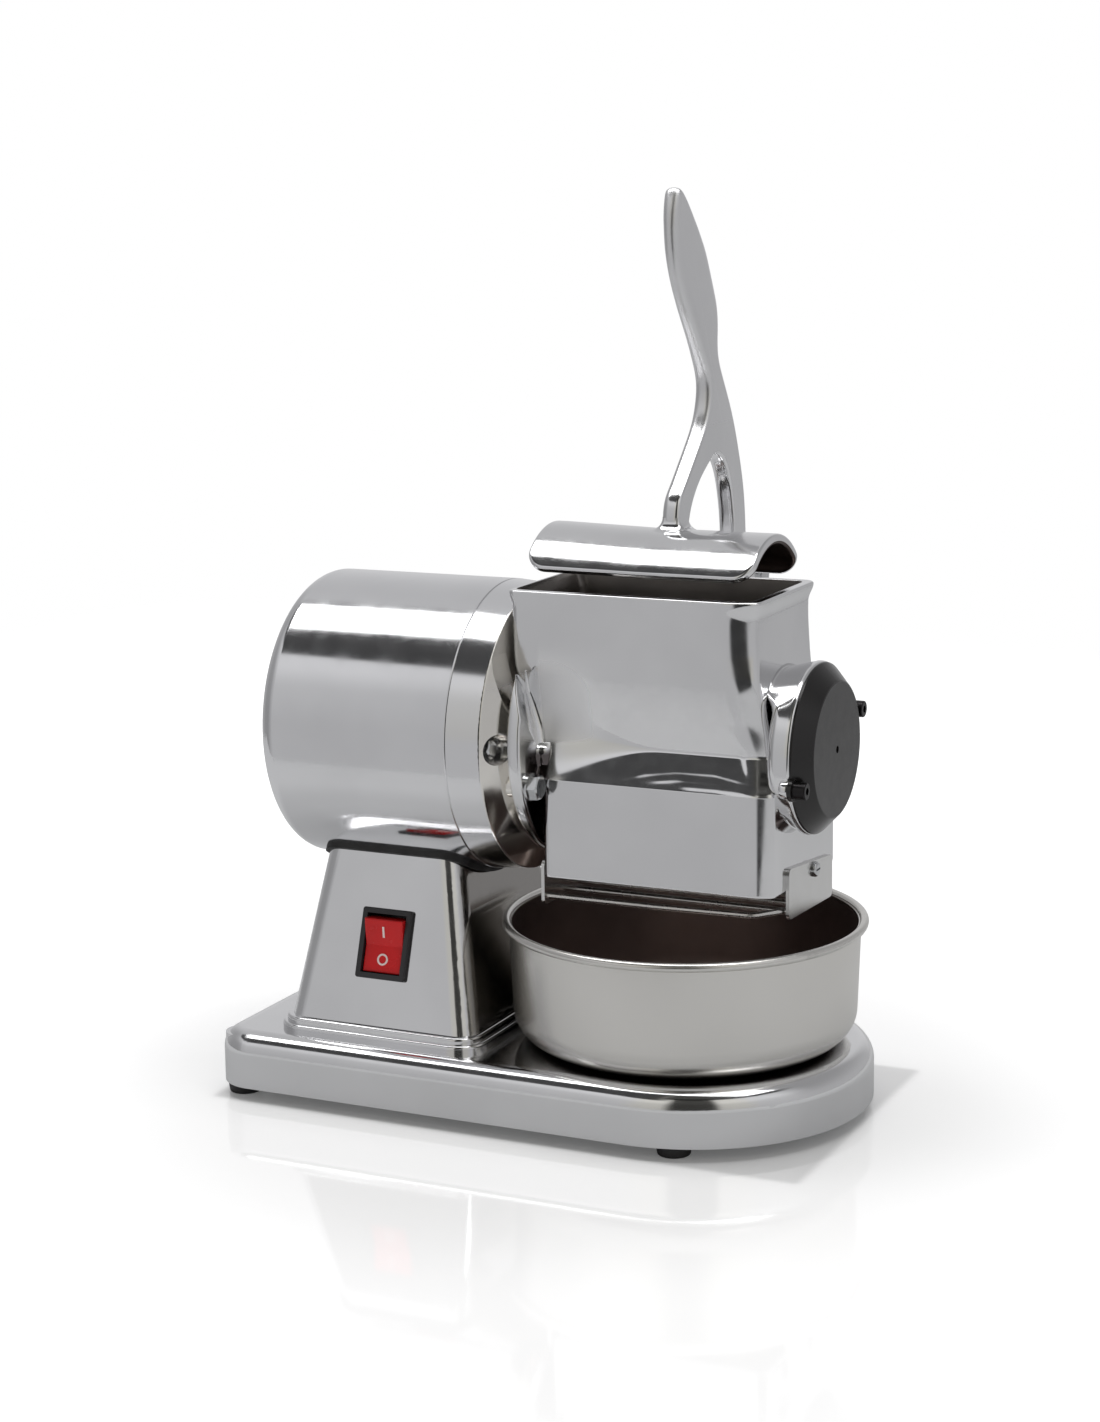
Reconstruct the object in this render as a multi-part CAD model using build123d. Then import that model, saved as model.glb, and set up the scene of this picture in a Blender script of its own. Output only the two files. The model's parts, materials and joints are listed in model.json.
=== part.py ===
from build123d import *
import os
import math

os.makedirs("parts", exist_ok=True)

# ---------------------------------------------------------------------------
# Counter-top electric grater. Millimetres, +Z up, table at Z = 0.
# +X runs along the motor shaft towards the drum cap, -Y faces the user.
# X positions below are measured from the bowl centre; every piece is moved
# by BOWL_X at the end so that the origin is the middle of the footprint.
# ---------------------------------------------------------------------------
BOWL_X = 56.95

# base plinth
BASE_X0, BASE_X1 = -196.6, 82.7
BASE_HALF = 79.0
BASE_Z0, BASE_Z1 = 6.0, 30.5
BASE_CORNER = 19.0
BASE_EDGE = 9.0
BASE_WALL = 4.0

# pedestal under the motor (leaning front and back, sloping right side)
PED_Z0 = BASE_Z1
PED_FOOT = (-167.2, -73.6, 62.8)      # left X, right X, half depth at the foot
PED_TOPZ = 125.0
PED_TOP = (-157.0, -95.8, 31.3)       # the same at PED_TOPZ
PED_R = 9.0
PED_WALL = 4.0
LEAN = math.degrees(math.atan((PED_FOOT[2] - PED_TOP[2]) / (PED_TOPZ - PED_Z0)))

# motor
AX_Z = 163.4
MOTOR_R = 64.2
MOTOR_X0, SEAM_X, SHIELD_X = -175.5, -82.8, -67.0
SHIELD_R, SHOULDER_X, SHOULDER_R = 62.9, -58.8, 48.0
CASE_WALL = 5.0
SEAM_V = 0.45
GASKET = 2.2
SADDLE_WALL = 5.0
SHAFT_R = 7.5
STATOR_X = (-150.0, -104.0)
STATOR_BORE = 33.0
AIR_GAP = 0.4
BRG_R, BRG_W = 17.5, 11.0
SHIELD_BOLT_R = 54.5

# grating head
FL_X0, FL_X1, FL_R = -58.1, -52.6, 54.4
BOSS_R = 34.0
PAD_R = 5.2
HEAD_BOLTS = ((-44.4, -17.0), (44.4, 17.0))
RIM_Z = 229.0
LEDGE_Z = 148.6
CHUTE_X0, CHUTE_X1, CHUTE_Y = -50.0, 55.0, 38.6
CHUTE_Z = 105.6
CHUTE_R = 5.5
DRUM_R, DRUM_BORE = 25.8, 27.2
DRUM_X0, DRUM_X1 = -44.5, 49.0
MOUTH_X0, MOUTH_X1, MOUTH_Y = -64.4, 42.8, 31.8
CAP_RING_R, CAP_RING_X = 36.9, 62.0
CAP_R0, CAP_X0 = 36.4, 62.6
CAP_R1, CAP_X1 = 28.9, 69.8
CAP_SCREW_R, CAP_SCREW_A = 36.8, 17.0

# presser lever
PIV_Y, PIV_Z = 69.0, 225.0
PIN_R = 4.0
ARM_X = -5.5
ARM_T = 8.0
HUB_T = 11.0
PLATE_X0, PLATE_X1 = -61.2, 40.4
PLATE_R, PLATE_T = 36.0, 4.3          # crown radius and thickness of the half-round presser
PLATE_C = (1.2, 216.9)                # centre of the crown arc (Y, Z)
PLATE_A0, PLATE_A1 = -50.5, 43.0      # arc from front edge to the tighter rear curl, degrees from vertical
CURL_R, CURL_A = 11.0, 108.0

# bowl
BOWL_R, BOWL_Z0, BOWL_Z1 = 79.8, 30.8, 85.0
BOWL_T = 1.2

# rocker switch on the leaning front face
SW_X, SW_Z = -121.8, 70.6
SW_W, SW_H = 24.6, 31.2
SW_WIN_W, SW_WIN_H = 19.4, 26.2
ROCK_W, ROCK_HALF = 18.8, 11.9
ROCK_TILT = 11.0


# ------------------------------------------------------------------ helpers
def cylx(r, x0, x1, y=0.0, z=AX_Z):
    return Pos((x0 + x1) / 2, y, z) * Rot(0, 90, 0) * Cylinder(r, x1 - x0)


def cylz(r, z0, z1, x=0.0, y=0.0):
    return Pos(x, y, (z0 + z1) / 2) * Cylinder(r, z1 - z0)


def boxx(x0, x1, y0, y1, z0, z1):
    return Pos((x0 + x1) / 2, (y0 + y1) / 2, (z0 + z1) / 2) * Box(x1 - x0, y1 - y0, z1 - z0)


def rrect(x0, x1, y0, y1, r, z):
    return Plane.XY.offset(z) * Pos((x0 + x1) / 2, (y0 + y1) / 2) * RectangleRounded(x1 - x0, y1 - y0, r)


def hexx(af, x0, x1, y, z):
    h = RegularPolygon(af / math.sqrt(3), 6)
    return Plane((x0, y, z), x_dir=(0, 1, 0), z_dir=(1, 0, 0)) * extrude(h, x1 - x0)


def hexhead(af, x0, h, y, z):
    """Hexagon bolt head standing on x0 with its corners turned off at the free end."""
    rc = af / math.sqrt(3)
    turned = make_face(Polyline((0, 0), (0, rc + 1), (h - 0.9, rc + 0.05), (h, rc - 1.3), (h, 0), close=True))
    turned = Pos(x0, y, z) * revolve(Plane.XZ * turned, Axis.X)
    return hexx(af, x0, x0 + h, y, z) & turned


def first(edges, pred):
    return [e for e in edges if pred(e)]


def safe_fillet(part, edges, radii):
    """Round edges with the largest of the given radii that the shape accepts."""
    for r in radii:
        try:
            out = fillet(edges, r)
            if out.is_valid and out.volume > 0:
                return out
        except Exception:
            pass
    return part


nodes = {}


def put(name, *solids):
    nodes[name] = list(solids)


# -------------------------------------------------------------- base casting
def base_outline(inset, z):
    cx = BASE_X1 - BASE_HALF
    h = BASE_HALF - inset
    body = Pos((BASE_X0 + inset + cx) / 2, 0) * Rectangle(cx - BASE_X0 - inset, 2 * h)
    body = body + Pos(cx, 0) * Circle(h)
    corners = body.vertices().sort_by(Axis.X)[:2]
    body = fillet(corners, max(BASE_CORNER - inset, 2))
    return Plane.XY.offset(z) * body


plinth = extrude(base_outline(0, BASE_Z0), BASE_Z1 - BASE_Z0)
plinth = fillet(plinth.faces().sort_by(Axis.Z)[-1].edges(), BASE_EDGE)


def pedestal(grow, z0, z1):
    def at(z, k):
        t = (z - PED_Z0) / (PED_TOPZ - PED_Z0)
        v = [a + (b - a) * t for a, b in zip(PED_FOOT, PED_TOP)]
        return rrect(v[0] - grow, v[1] + grow, -v[2] - grow, v[2] + grow, max(PED_R + grow, 2), z)
    return loft([at(z0, 0), at(z1, 1)], ruled=True)


saddle = cylx(MOTOR_R + GASKET, -260, 0)
column = pedestal(0, PED_Z0 - 3.0, PED_TOPZ) - saddle

# two bead mouldings round the foot of the pedestal
beads = []
for z0, z1, g in ((PED_Z0 - 1.0, PED_Z0 + 3.1, 4.2), (PED_Z0 + 3.1, PED_Z0 + 6.0, 2.2)):
    ring = extrude(rrect(PED_FOOT[0] - g + 0.4, PED_FOOT[1] + g - 1.6, -PED_FOOT[2] - g + 1.0, PED_FOOT[2] + g - 1.0, PED_R + g, z0), z1 - z0)
    ring = safe_fillet(ring, ring.faces().sort_by(Axis.Z)[-1].edges(), (1.4, 1.0))
    beads.append(ring)

base = plinth + column + beads[0] + beads[1]
cavity = extrude(base_outline(BASE_WALL, BASE_Z0 - 1), BASE_Z1 - BASE_Z0 + 1 - BASE_WALL)
inner_col = pedestal(-PED_WALL, PED_Z0 - 8.0, PED_TOPZ) - cylx(MOTOR_R + GASKET + SADDLE_WALL, -260, 0)
base = base - cavity - inner_col

FEET = [(-186.5, -65.0), (-186.5, 65.0), (22.0, -65.0), (22.0, 65.0)]
for fx, fy in FEET:
    base = base + (cylz(8.0, 7.6, BASE_Z1 - 2.5, fx, fy) - cylz(2.0, 6.0, 20.0, fx, fy))

# holes: motor screws through the saddle wall, switch window, cable gland
MS_POS = [(x, s * 24.0) for x in (-140.0, -112.0) for s in (-1, 1)]


def radial(shape, ang):
    """Turn a shape built downwards along -Z from the motor axis by ang about that axis."""
    return Pos(0, 0, AX_Z) * Rot(ang, 0, 0) * shape


for mx, a in MS_POS:
    base = base - radial(cylz(2.7, -MOTOR_R - GASKET - SADDLE_WALL - 6, -MOTOR_R, mx, 0), a)

n_front = Vector(0, -math.cos(math.radians(LEAN)), math.sin(math.radians(LEAN)))
sw_y = -(PED_FOOT[2] + (PED_TOP[2] - PED_FOOT[2]) * (SW_Z - PED_Z0) / (PED_TOPZ - PED_Z0))
SWP = Plane((SW_X, sw_y, SW_Z), x_dir=(1, 0, 0), z_dir=n_front)
base = base - SWP * Box(22.2, 28.2, 24)
n_back = Vector(0, math.cos(math.radians(LEAN)), math.sin(math.radians(LEAN)))
GL_X, GL_Z = -116.0, 56.0
gl_y = PED_FOOT[2] + (PED_TOP[2] - PED_FOOT[2]) * (GL_Z - PED_Z0) / (PED_TOPZ - PED_Z0)
GLP = Plane((GL_X, gl_y, GL_Z), x_dir=(-1, 0, 0), z_dir=n_back)
base = base - GLP * Cylinder(8.0, 30)
put("base_casting", base)

# cover plate, feet and their screws
plate = extrude(base_outline(BASE_WALL + 0.3, BASE_Z0), 1.6)
for fx, fy in FEET:
    plate = plate - cylz(2.2, 0, 20, fx, fy)
put("base_cover_plate", plate)
feet, fscrews = [], []
for fx, fy in FEET:
    f = Pos(fx, fy, 3.0) * Cone(7.0, 8.0, 6.0)
    f = safe_fillet(f, f.faces().sort_by(Axis.Z)[0].edges(), (0.9, 0.6))
    f = f - cylz(4.6, -1, 2.2, fx, fy) - cylz(2.2, -1, 8, fx, fy)
    feet.append(f)
    fscrews.append(cylz(2.0, 2.2, 19.0, fx, fy) + (cylz(4.2, 0.8, 2.2, fx, fy)))
put("rubber_feet", *feet)
put("feet_screws", *fscrews)

# cable gland in the back of the pedestal
gbody = Cylinder(7.9, 12.0, align=(Align.CENTER, Align.CENTER, Align.MAX)) + extrude(RegularPolygon(11.2, 6), 5.0)
gbody = gbody + Pos(0, 0, 5.0) * Cone(9.4, 7.0, 8.0, align=(Align.CENTER, Align.CENTER, Align.MIN))
gbody = gbody - Cylinder(3.6, 60)
put("cable_gland", GLP * gbody)
gnut = Pos(0, 0, -PED_WALL * 1.08 - 4.6) * (extrude(RegularPolygon(11.6, 6), 4.0) - Cylinder(7.92, 20))
put("gland_nut", GLP * gnut)

# ------------------------------------------------------------------- switch
frame_ = extrude(RectangleRounded(SW_W, SW_H, 1.2), 2.0)
frame_ = safe_fillet(frame_, frame_.faces().sort_by(Axis.Z)[-1].edges(), (0.7, 0.5))
frame_ = frame_ + Pos(0, 0, -11.0) * Box(22.0, 28.0, 22.0)
frame_ = frame_ - Pos(0, 0, -2.0) * Box(SW_WIN_W, SW_WIN_H, 17.0)
frame_ = frame_ + [Pos(x, 0, -24.0) * Box(0.8, 6.3, 4.0) for x in (-6.0, 6.0)]
frame_ = frame_ + [Pos(x, 9, -24.0) * Box(0.8, 6.3, 4.0) for x in (-6.0, 6.0)]
# trunnion pins that carry the rocker
for s in (-1, 1):
    frame_ = frame_ + Pos(s * (SW_WIN_W / 2 - 0.9), 0, -3.0) * Rot(0, 90, 0) * Cylinder(1.2, 1.9)
put("switch_frame", SWP * frame_)

# rocker: two shallow finger dishes meeting in a valley, upper half proud at rest (off)
prof = Polyline((-ROCK_HALF, -3.4), (ROCK_HALF, -3.4), (ROCK_HALF, 6.0), (0, 3.7), (-ROCK_HALF, 6.0), close=True)
rock = extrude(Plane.YZ * make_face(prof), ROCK_W / 2, both=True)
rock = safe_fillet(rock, first(rock.edges(), lambda e: e.center().Z > 3.0), (0.6, 0.4))
for s in (-1, 1):
    rock = rock - Pos(s * ROCK_W / 2, 0, 0) * Rot(0, 90, 0) * Cylinder(1.25, 3.2)
PIVL = Pos(0, 0, -3.0) * Rot(ROCK_TILT, 0, 0)
put("rocker", SWP * (PIVL * rock))
slope = math.degrees(math.atan(2.3 / ROCK_HALF))
mark_i = Pos(0, 6.2, 3.7 + 6.2 * 2.3 / ROCK_HALF) * Rot(slope, 0, 0) * Pos(0, 0, 0.15) * Box(0.9, 5.0, 0.3)
mark_o = Pos(0, -6.0, 3.7 + 6.0 * 2.3 / ROCK_HALF) * Rot(-slope, 0, 0) * Pos(0, 0, 0.15) * (Cylinder(2.6, 0.3) - Cylinder(1.8, 0.3))
put("rocker_marks", SWP * (PIVL * mark_i), SWP * (PIVL * mark_o))

# -------------------------------------------------------------------- motor
gasket = pedestal(2.0, PED_Z0 + 30, PED_TOPZ) & (cylx(MOTOR_R + GASKET, -170, -80) - cylx(MOTOR_R, -170, -80))
for mx, a in MS_POS:
    gasket = gasket - radial(cylz(2.7, -MOTOR_R - 8, -MOTOR_R + 4, mx, 0), a)
gsol = [s for s in gasket.solids() if s.center().Z < AX_Z]
put("motor_gasket", *gsol)

case = cylx(MOTOR_R, MOTOR_X0, SEAM_X)
case = fillet(first(case.edges(), lambda e: abs(e.center().X - MOTOR_X0) < 0.01), 8.0)
case = chamfer(first(case.edges(), lambda e: abs(e.center().X - SEAM_X) < 0.01), SEAM_V)
case = case - cylx(MOTOR_R - CASE_WALL, MOTOR_X0 + 5.0, SEAM_X + 1)
case = case + (cylx(23.0, MOTOR_X0 + 4.0, MOTOR_X0 + 5.0 + BRG_W) - cylx(BRG_R, MOTOR_X0 + 5.0, MOTOR_X0 + 40))
lug_angles = (0, 90, 180, 270)
for a in lug_angles:
    ly, lz = SHIELD_BOLT_R * math.cos(math.radians(a)), SHIELD_BOLT_R * math.sin(math.radians(a))
    lug = cylx(6.5, SEAM_X - 16, SEAM_X - 5.2, ly, AX_Z + lz) & cylx(MOTOR_R - 1, -200, 0)
    case = case + lug - cylx(2.5, SEAM_X - 15, SEAM_X, ly, AX_Z + lz)
for mx, a in MS_POS:
    case = case - radial(cylz(2.5, -MOTOR_R - 1, -MOTOR_R + 3.6, mx, 0), a)
put("motor_casing", case)

mscrews = []
for mx, a in MS_POS:
    s = cylz(2.5, -MOTOR_R - GASKET - SADDLE_WALL - 0.6, -MOTOR_R + 3.4, mx, 0)
    s = s + cylz(4.3, -MOTOR_R - GASKET - SADDLE_WALL - 4.6, -MOTOR_R - GASKET - SADDLE_WALL - 0.6, mx, 0)
    mscrews.append(radial(s, a))
put("motor_mount_screws", *mscrews)

def sink(a):
    """The top bolt sits deeper, because the hopper hangs over it."""
    return 5.4 if a == 90 else 0.0


def conex(r0, r1, x0, x1):
    return Pos((x0 + x1) / 2, 0, AX_Z) * Rot(0, 90, 0) * Cone(r0, r1, x1 - x0)


# a band with a little draft, and in front of it a cone that runs down to the hopper's flange
shield = conex(MOTOR_R, SHIELD_R, SEAM_X, SHIELD_X) + conex(SHIELD_R, SHOULDER_R, SHIELD_X, SHOULDER_X)
shield = safe_fillet(shield, first(shield.edges(), lambda e: abs(e.center().X - SHIELD_X) < 0.01), (1.2, 0.8))
shield = chamfer(first(shield.edges(), lambda e: abs(e.center().X - SEAM_X) < 0.01), SEAM_V)
shield = shield - (cylx(56.0 - 8.0, SEAM_X - 1, SEAM_X + 8.0) - cylx(24.0, SEAM_X - 1, SEAM_X + 8.0))
shield = shield + (cylx(MOTOR_R - CASE_WALL, SEAM_X - 5.0, SEAM_X) - cylx(MOTOR_R - CASE_WALL - 4.0, SEAM_X - 5.0, SEAM_X))
shield = shield + cylx(BOSS_R, SHIELD_X - 1, FL_X0)
for by, bz in HEAD_BOLTS:
    shield = shield + cylx(PAD_R, SHIELD_X - 1, FL_X0, by, AX_Z + bz)
shield = shield - cylx(BRG_R, SEAM_X - 1, SEAM_X + BRG_W) - cylx(9.5, SEAM_X, FL_X0 + 1)
for a in lug_angles:
    ly, lz = SHIELD_BOLT_R * math.cos(math.radians(a)), SHIELD_BOLT_R * math.sin(math.radians(a))
    shield = shield - cylx(2.75, SEAM_X - 6, SHIELD_X + 12, ly, AX_Z + lz)
    shield = shield - cylx(6.6, SHIELD_X - 3.2 - sink(a), FL_X0 + 1, ly, AX_Z + lz)
for by, bz in HEAD_BOLTS:
    shield = shield - cylx(3.0, FL_X0 - 12.0, FL_X0 + 1, by, AX_Z + bz)
# flat on the boss that leaves room for the sloping end wall of the hopper
shield = shield - Pos(-62.0, 0, 207.0) * Box(9.9, 71.6, 67.6)
# and the cone cut back beside that wall
cut = Polyline((-57.0, 171.0), (-58.9, 173.2), (-65.5, 195.2), (-66.95, 202.0), (-66.95, 241.0), (-50.0, 241.0), (-50.0, 171.0), close=True)
shield = shield - extrude(Plane.XZ * make_face(cut), 70.0, both=True)
put("motor_front_shield", shield)

sbolts = []
for a in lug_angles:
    ly, lz = SHIELD_BOLT_R * math.cos(math.radians(a)), SHIELD_BOLT_R * math.sin(math.radians(a))
    seat = SHIELD_X - 3.2 - sink(a)
    b = cylx(2.5, SEAM_X - 14.5, seat, ly, AX_Z + lz)
    b = b + cylx(5.6, seat, seat + 1.0, ly, AX_Z + lz)
    sbolts.append(b + hexhead(8.0, seat + 1.0, 4.6, ly, AX_Z + lz))
put("shield_bolts", *sbolts)


def bearing(x0):
    x1 = x0 + BRG_W
    outer = cylx(BRG_R, x0, x1) - cylx(14.2, x0 - 1, x1 + 1)
    inner = cylx(10.6, x0, x1) - cylx(SHAFT_R + 0.03, x0 - 1, x1 + 1)
    shields = (cylx(14.2, x0 + 0.6, x0 + 1.2) + cylx(14.2, x1 - 1.2, x1 - 0.6)) - cylx(10.6, x0 - 1, x1 + 1)
    return (outer + inner + shields)


put("rear_bearing", bearing(MOTOR_X0 + 5.0))
put("front_bearing", bearing(SEAM_X))

core = cylx(MOTOR_R - CASE_WALL, *STATOR_X) - cylx(STATOR_BORE, STATOR_X[0] - 1, STATOR_X[1] + 1)
put("stator_core", core)
wind = []
for x0, x1 in ((STATOR_X[0] - 8.0, STATOR_X[0]), (STATOR_X[1], STATOR_X[1] + 4.8)):
    w = cylx(48.0, x0, x1) - cylx(36.0, x0 - 1, x1 + 1)
    outer_x = x0 if x1 <= STATOR_X[0] else x1
    w = safe_fillet(w, first(w.edges(), lambda e: abs(e.center().X - outer_x) < 0.01), (2.0, 1.0))
    wind.append(w)
put("stator_windings", *wind)

cap_ = cylz(17.0, BASE_Z0 + 1.6, BASE_Z0 + 60.0, -137.0, 18.0)
cap_ = safe_fillet(cap_, cap_.faces().sort_by(Axis.Z)[-1].edges(), (3.0,))
cap_ = cap_ + [cylz(1.6, BASE_Z0 + 60.0, BASE_Z0 + 66.0, -137.0 + d, 18.0) for d in (-5, 5)]
put("capacitor", cap_)
term = boxx(-108, -86, 2, 40, BASE_Z0 + 1.6, BASE_Z0 + 9.6)
for i in range(4):
    term = term + boxx(-104, -90, 4.5 + i * 9.0, 10.5 + i * 9.0, BASE_Z0 + 9.6, BASE_Z0 + 15.0)
    term = term - cylz(1.7, BASE_Z0 + 10.0, BASE_Z0 + 20.0, -97.0, 7.5 + i * 9.0)
put("terminal_block", term)

# ------------------------------------------------------------ turning parts
shaft = cylx(SHAFT_R, MOTOR_X0 + 5.2, DRUM_X1 - 4.0) + cylx(5.0, DRUM_X1 - 4.0, CAP_X1 - 6.5)
shaft = shaft - boxx(DRUM_X0 + 1.0, DRUM_X0 + 13.0, -2.0, 2.0, AX_Z + SHAFT_R - 2.5, AX_Z + SHAFT_R + 2)
put("motor_shaft", shaft)
put("shaft_key", boxx(DRUM_X0 + 1.0, DRUM_X0 + 13.0, -2.0, 2.0, AX_Z + SHAFT_R - 2.5, AX_Z + SHAFT_R + 1.5))
rotor = cylx(STATOR_BORE - AIR_GAP, STATOR_X[0] + 1, STATOR_X[1] - 1) - cylx(SHAFT_R, -300, 200)
rotor = rotor + (cylx(28.0, STATOR_X[0] - 4, STATOR_X[0] + 1) - cylx(20.0, -300, 200)) + (cylx(28.0, STATOR_X[1] - 1, STATOR_X[1] + 4) - cylx(20.0, -300, 200))
put("rotor_core", rotor)

hub_l = cylx(DRUM_R - 1.2, DRUM_X0, DRUM_X0 + 5.0) + cylx(14.0, DRUM_X0, DRUM_X0 + 14.0)
hub_l = hub_l - cylx(SHAFT_R, -300, 200) - boxx(DRUM_X0 - 1, DRUM_X0 + 15, -2.0, 2.0, AX_Z, AX_Z + SHAFT_R + 1.5)
hub_r = cylx(DRUM_R - 1.2, DRUM_X1 - 5.0, DRUM_X1) - cylx(SHAFT_R, -300, DRUM_X1 - 4.0) - cylx(5.0, -300, 200)
put("drum_hubs", hub_l, hub_r)
drum = cylx(DRUM_R, DRUM_X0, DRUM_X1) - cylx(DRUM_R - 1.2, DRUM_X0 - 1, DRUM_X1 + 1)
cutters = []
rows, per = 10, 16
for i in range(rows):
    x = DRUM_X0 + 9.0 + i * (DRUM_X1 - DRUM_X0 - 18.0) / (rows - 1)
    for j in range(per):
        a = 360.0 / per * (j + 0.5 * (i % 2))
        cutters.append(Pos(x, 0, AX_Z) * Rot(a, 0, 0) * Pos(0, 0, DRUM_R) * Cylinder(1.9, 6.0))
drum = drum - cutters
put("grating_drum", drum)
nut = hexx(15.0, DRUM_X1, DRUM_X1 + 1.6, 0, AX_Z) - cylx(5.0, 0, 100)
put("drum_nut", nut)


# ------------------------------------------------------------------- hopper
def hop_section(z, x0, x1, yl, yr, yb, rl, rr):
    """Rounded rectangle; the front side runs from yl at the motor end to yr at the cap end, the back side is at yb."""
    c = 1 - math.sqrt(0.5)
    fl, fr = -yl, -yr
    e1 = Line((x0 + rl, fl), (x1 - rr, fr))
    c1 = ThreePointArc((x1 - rr, fr), (x1 - rr * c, fr + rr * c), (x1, fr + rr))
    e2 = Line((x1, fr + rr), (x1, yb - rr))
    c2 = ThreePointArc((x1, yb - rr), (x1 - rr * c, yb - rr * c), (x1 - rr, yb))
    e3 = Line((x1 - rr, yb), (x0 + rl, yb))
    c3 = ThreePointArc((x0 + rl, yb), (x0 + rl * c, yb - rl * c), (x0, yb - rl))
    e4 = Line((x0, yb - rl), (x0, fl + rl))
    c4 = ThreePointArc((x0, fl + rl), (x0 + rl * c, fl + rl * c), (x0 + rl, fl))
    return Plane.XY.offset(z) * make_face([e1, c1, e2, c2, e3, c3, e4, c4])


secs = [hop_section(*a) for a in (
    (LEDGE_Z, CHUTE_X0, CHUTE_X1, CHUTE_Y, CHUTE_Y, CHUTE_Y, 5.5, 5.5),
    (153.0, -51.3, 54.3, 38.0, 35.6, 37.6, 5.5, 6.5),
    (157.0, -52.6, 53.6, 37.4, 33.1, 36.8, 5.5, 7.5),
    (161.0, -53.8, 52.8, 36.9, 31.3, 36.2, 5.5, 8.5),
    (166.0, -55.4, 51.7, 36.3, 30.6, 35.8, 5.0, 9.0),
    (173.0, -57.9, 50.2, 35.8, 31.0, 35.5, 4.5, 9.0),
    (180.0, -60.2, 48.8, 35.4, 32.0, 35.3, 4.0, 9.0),
    (188.0, -62.8, 47.4, 35.2, 33.2, 35.2, 4.0, 8.5),
    (195.0, -64.4, 46.4, 35.2, 34.1, 35.2, 4.0, 8.0),
    (205.0, -64.9, 45.5, 35.2, 34.8, 35.2, 3.5, 7.5),
    (216.0, -65.0, 45.1, 35.2, 35.1, 35.2, 3.5, 7.0),
    (RIM_Z, -65.2, 45.5, 35.2, 35.2, 35.2, 3.5, 7.0))]
head = loft(secs)
chute = extrude(rrect(CHUTE_X0, CHUTE_X1, -CHUTE_Y, CHUTE_Y, CHUTE_R, CHUTE_Z), LEDGE_Z - CHUTE_Z)
lip = loft([hop_section(RIM_Z - 8.0, -65.0, 45.2, 35.1, 35.1, 35.1, 3.5, 7.0), hop_section(RIM_Z - 4.5, -65.4, 46.0, 35.5, 35.5, 35.5, 3.7, 7.2),
            hop_section(RIM_Z - 1.6, -66.2, 47.2, 36.3, 36.3, 36.3, 4.0, 7.6)], ruled=True)
lip = lip + extrude(hop_section(RIM_Z - 1.6, -66.2, 47.2, 36.3, 36.3, 36.3, 4.0, 7.6), 1.6)
lip = safe_fillet(lip, lip.faces().sort_by(Axis.Z)[-1].edges(), (0.8, 0.5))
flange = cylx(FL_R, FL_X0, FL_X1)
flange = safe_fillet(flange, first(flange.edges(), lambda e: abs(e.center().X - FL_X1) < 0.01), (1.2, 0.8))
neck = cylx(37.4, FL_X1 - 0.4, -44.0)
ring = cylx(CAP_RING_R, 52.0, CAP_RING_X) + Pos(47.0, 0, AX_Z) * Rot(0, 90, 0) * Cone(31.5, CAP_RING_R, 10.0)
CS = []
for a in (CAP_SCREW_A, CAP_SCREW_A + 180):
    CS.append((CAP_SCREW_R * math.cos(math.radians(a)), AX_Z + CAP_SCREW_R * math.sin(math.radians(a))))
lugs = [cylx(3.9, CAP_RING_X - 4.5, CAP_RING_X, sy, sz) for sy, sz in CS]
# the ears of the flange slope back above the shaft, where the hopper wall takes over
slope_cut = Polyline((-58.4, 195.0), (-52.2, 175.0), (-40.0, 175.0), (-40.0, 240.0), (-60.0, 240.0), (-60.0, 195.0), close=True)
slope_cut = Plane.XZ * extrude(make_face(slope_cut), 90.0, both=True)

ears = []
for x0 in (ARM_X - HUB_T / 2 - 1.1 - 8.0, ARM_X + HUB_T / 2 + 1.1):
    prof2 = Polyline((30.0, 224.0), (PIV_Y, PIV_Z + 10.0), (PIV_Y, PIV_Z - 10.0), (30.0, 186.0), close=True)
    web = make_face(prof2) + Pos(PIV_Y, PIV_Z) * Circle(10.0)
    ears.append(Plane((x0, 0, 0), x_dir=(0, 1, 0), z_dir=(1, 0, 0)) * extrude(web, 8.0))

flange = (flange + neck) - slope_cut
body = head + chute + ring
seam_edges = first(body.edges(), lambda e: 47.0 < e.center().X < 58.0 and e.length > 40
                   and all(abs(math.hypot((e @ t).Y, (e @ t).Z - AX_Z) - CAP_RING_R) < 0.05 for t in (0.1, 0.5, 0.9)))
body = safe_fillet(body, seam_edges, (5.0, 4.0, 3.0, 2.0, 1.0)) if seam_edges else body
hopper = body + lip + flange + lugs[0] + lugs[1] + ears[0] + ears[1]
mouth_cav = loft([rrect(MOUTH_X0 - 1.0, MOUTH_X1 + 0.4, -MOUTH_Y - 0.6, MOUTH_Y + 0.6, 4.0, RIM_Z + 3),
                  rrect(-62.6, MOUTH_X1 - 0.5, -MOUTH_Y + 0.4, MOUTH_Y, 4.0, RIM_Z - 7),
                  rrect(-62.2, 42.5, -31.2, MOUTH_Y, 4.0, 200.0),
                  rrect(-61.8, 43.3, -30.6, MOUTH_Y, 4.0, 193.5),
                  rrect(-60.0, 44.2, -30.2, MOUTH_Y, 4.0, 189.0),
                  rrect(-46.6, 49.6, -DRUM_BORE, DRUM_BORE, 4.0, AX_Z)], ruled=True)
chute_cav = extrude(rrect(-46.6, 51.6, -35.0, 35.0, 3.0, CHUTE_Z - 3), 146.0 - CHUTE_Z + 3)
hopper = hopper - mouth_cav - chute_cav - cylx(DRUM_BORE, -46.6, 70.0)
hopper = hopper - cylx(9.0, FL_X0 - 1, -40.0) - cylx(15.0, FL_X0 - 1, -51.0)
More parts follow.
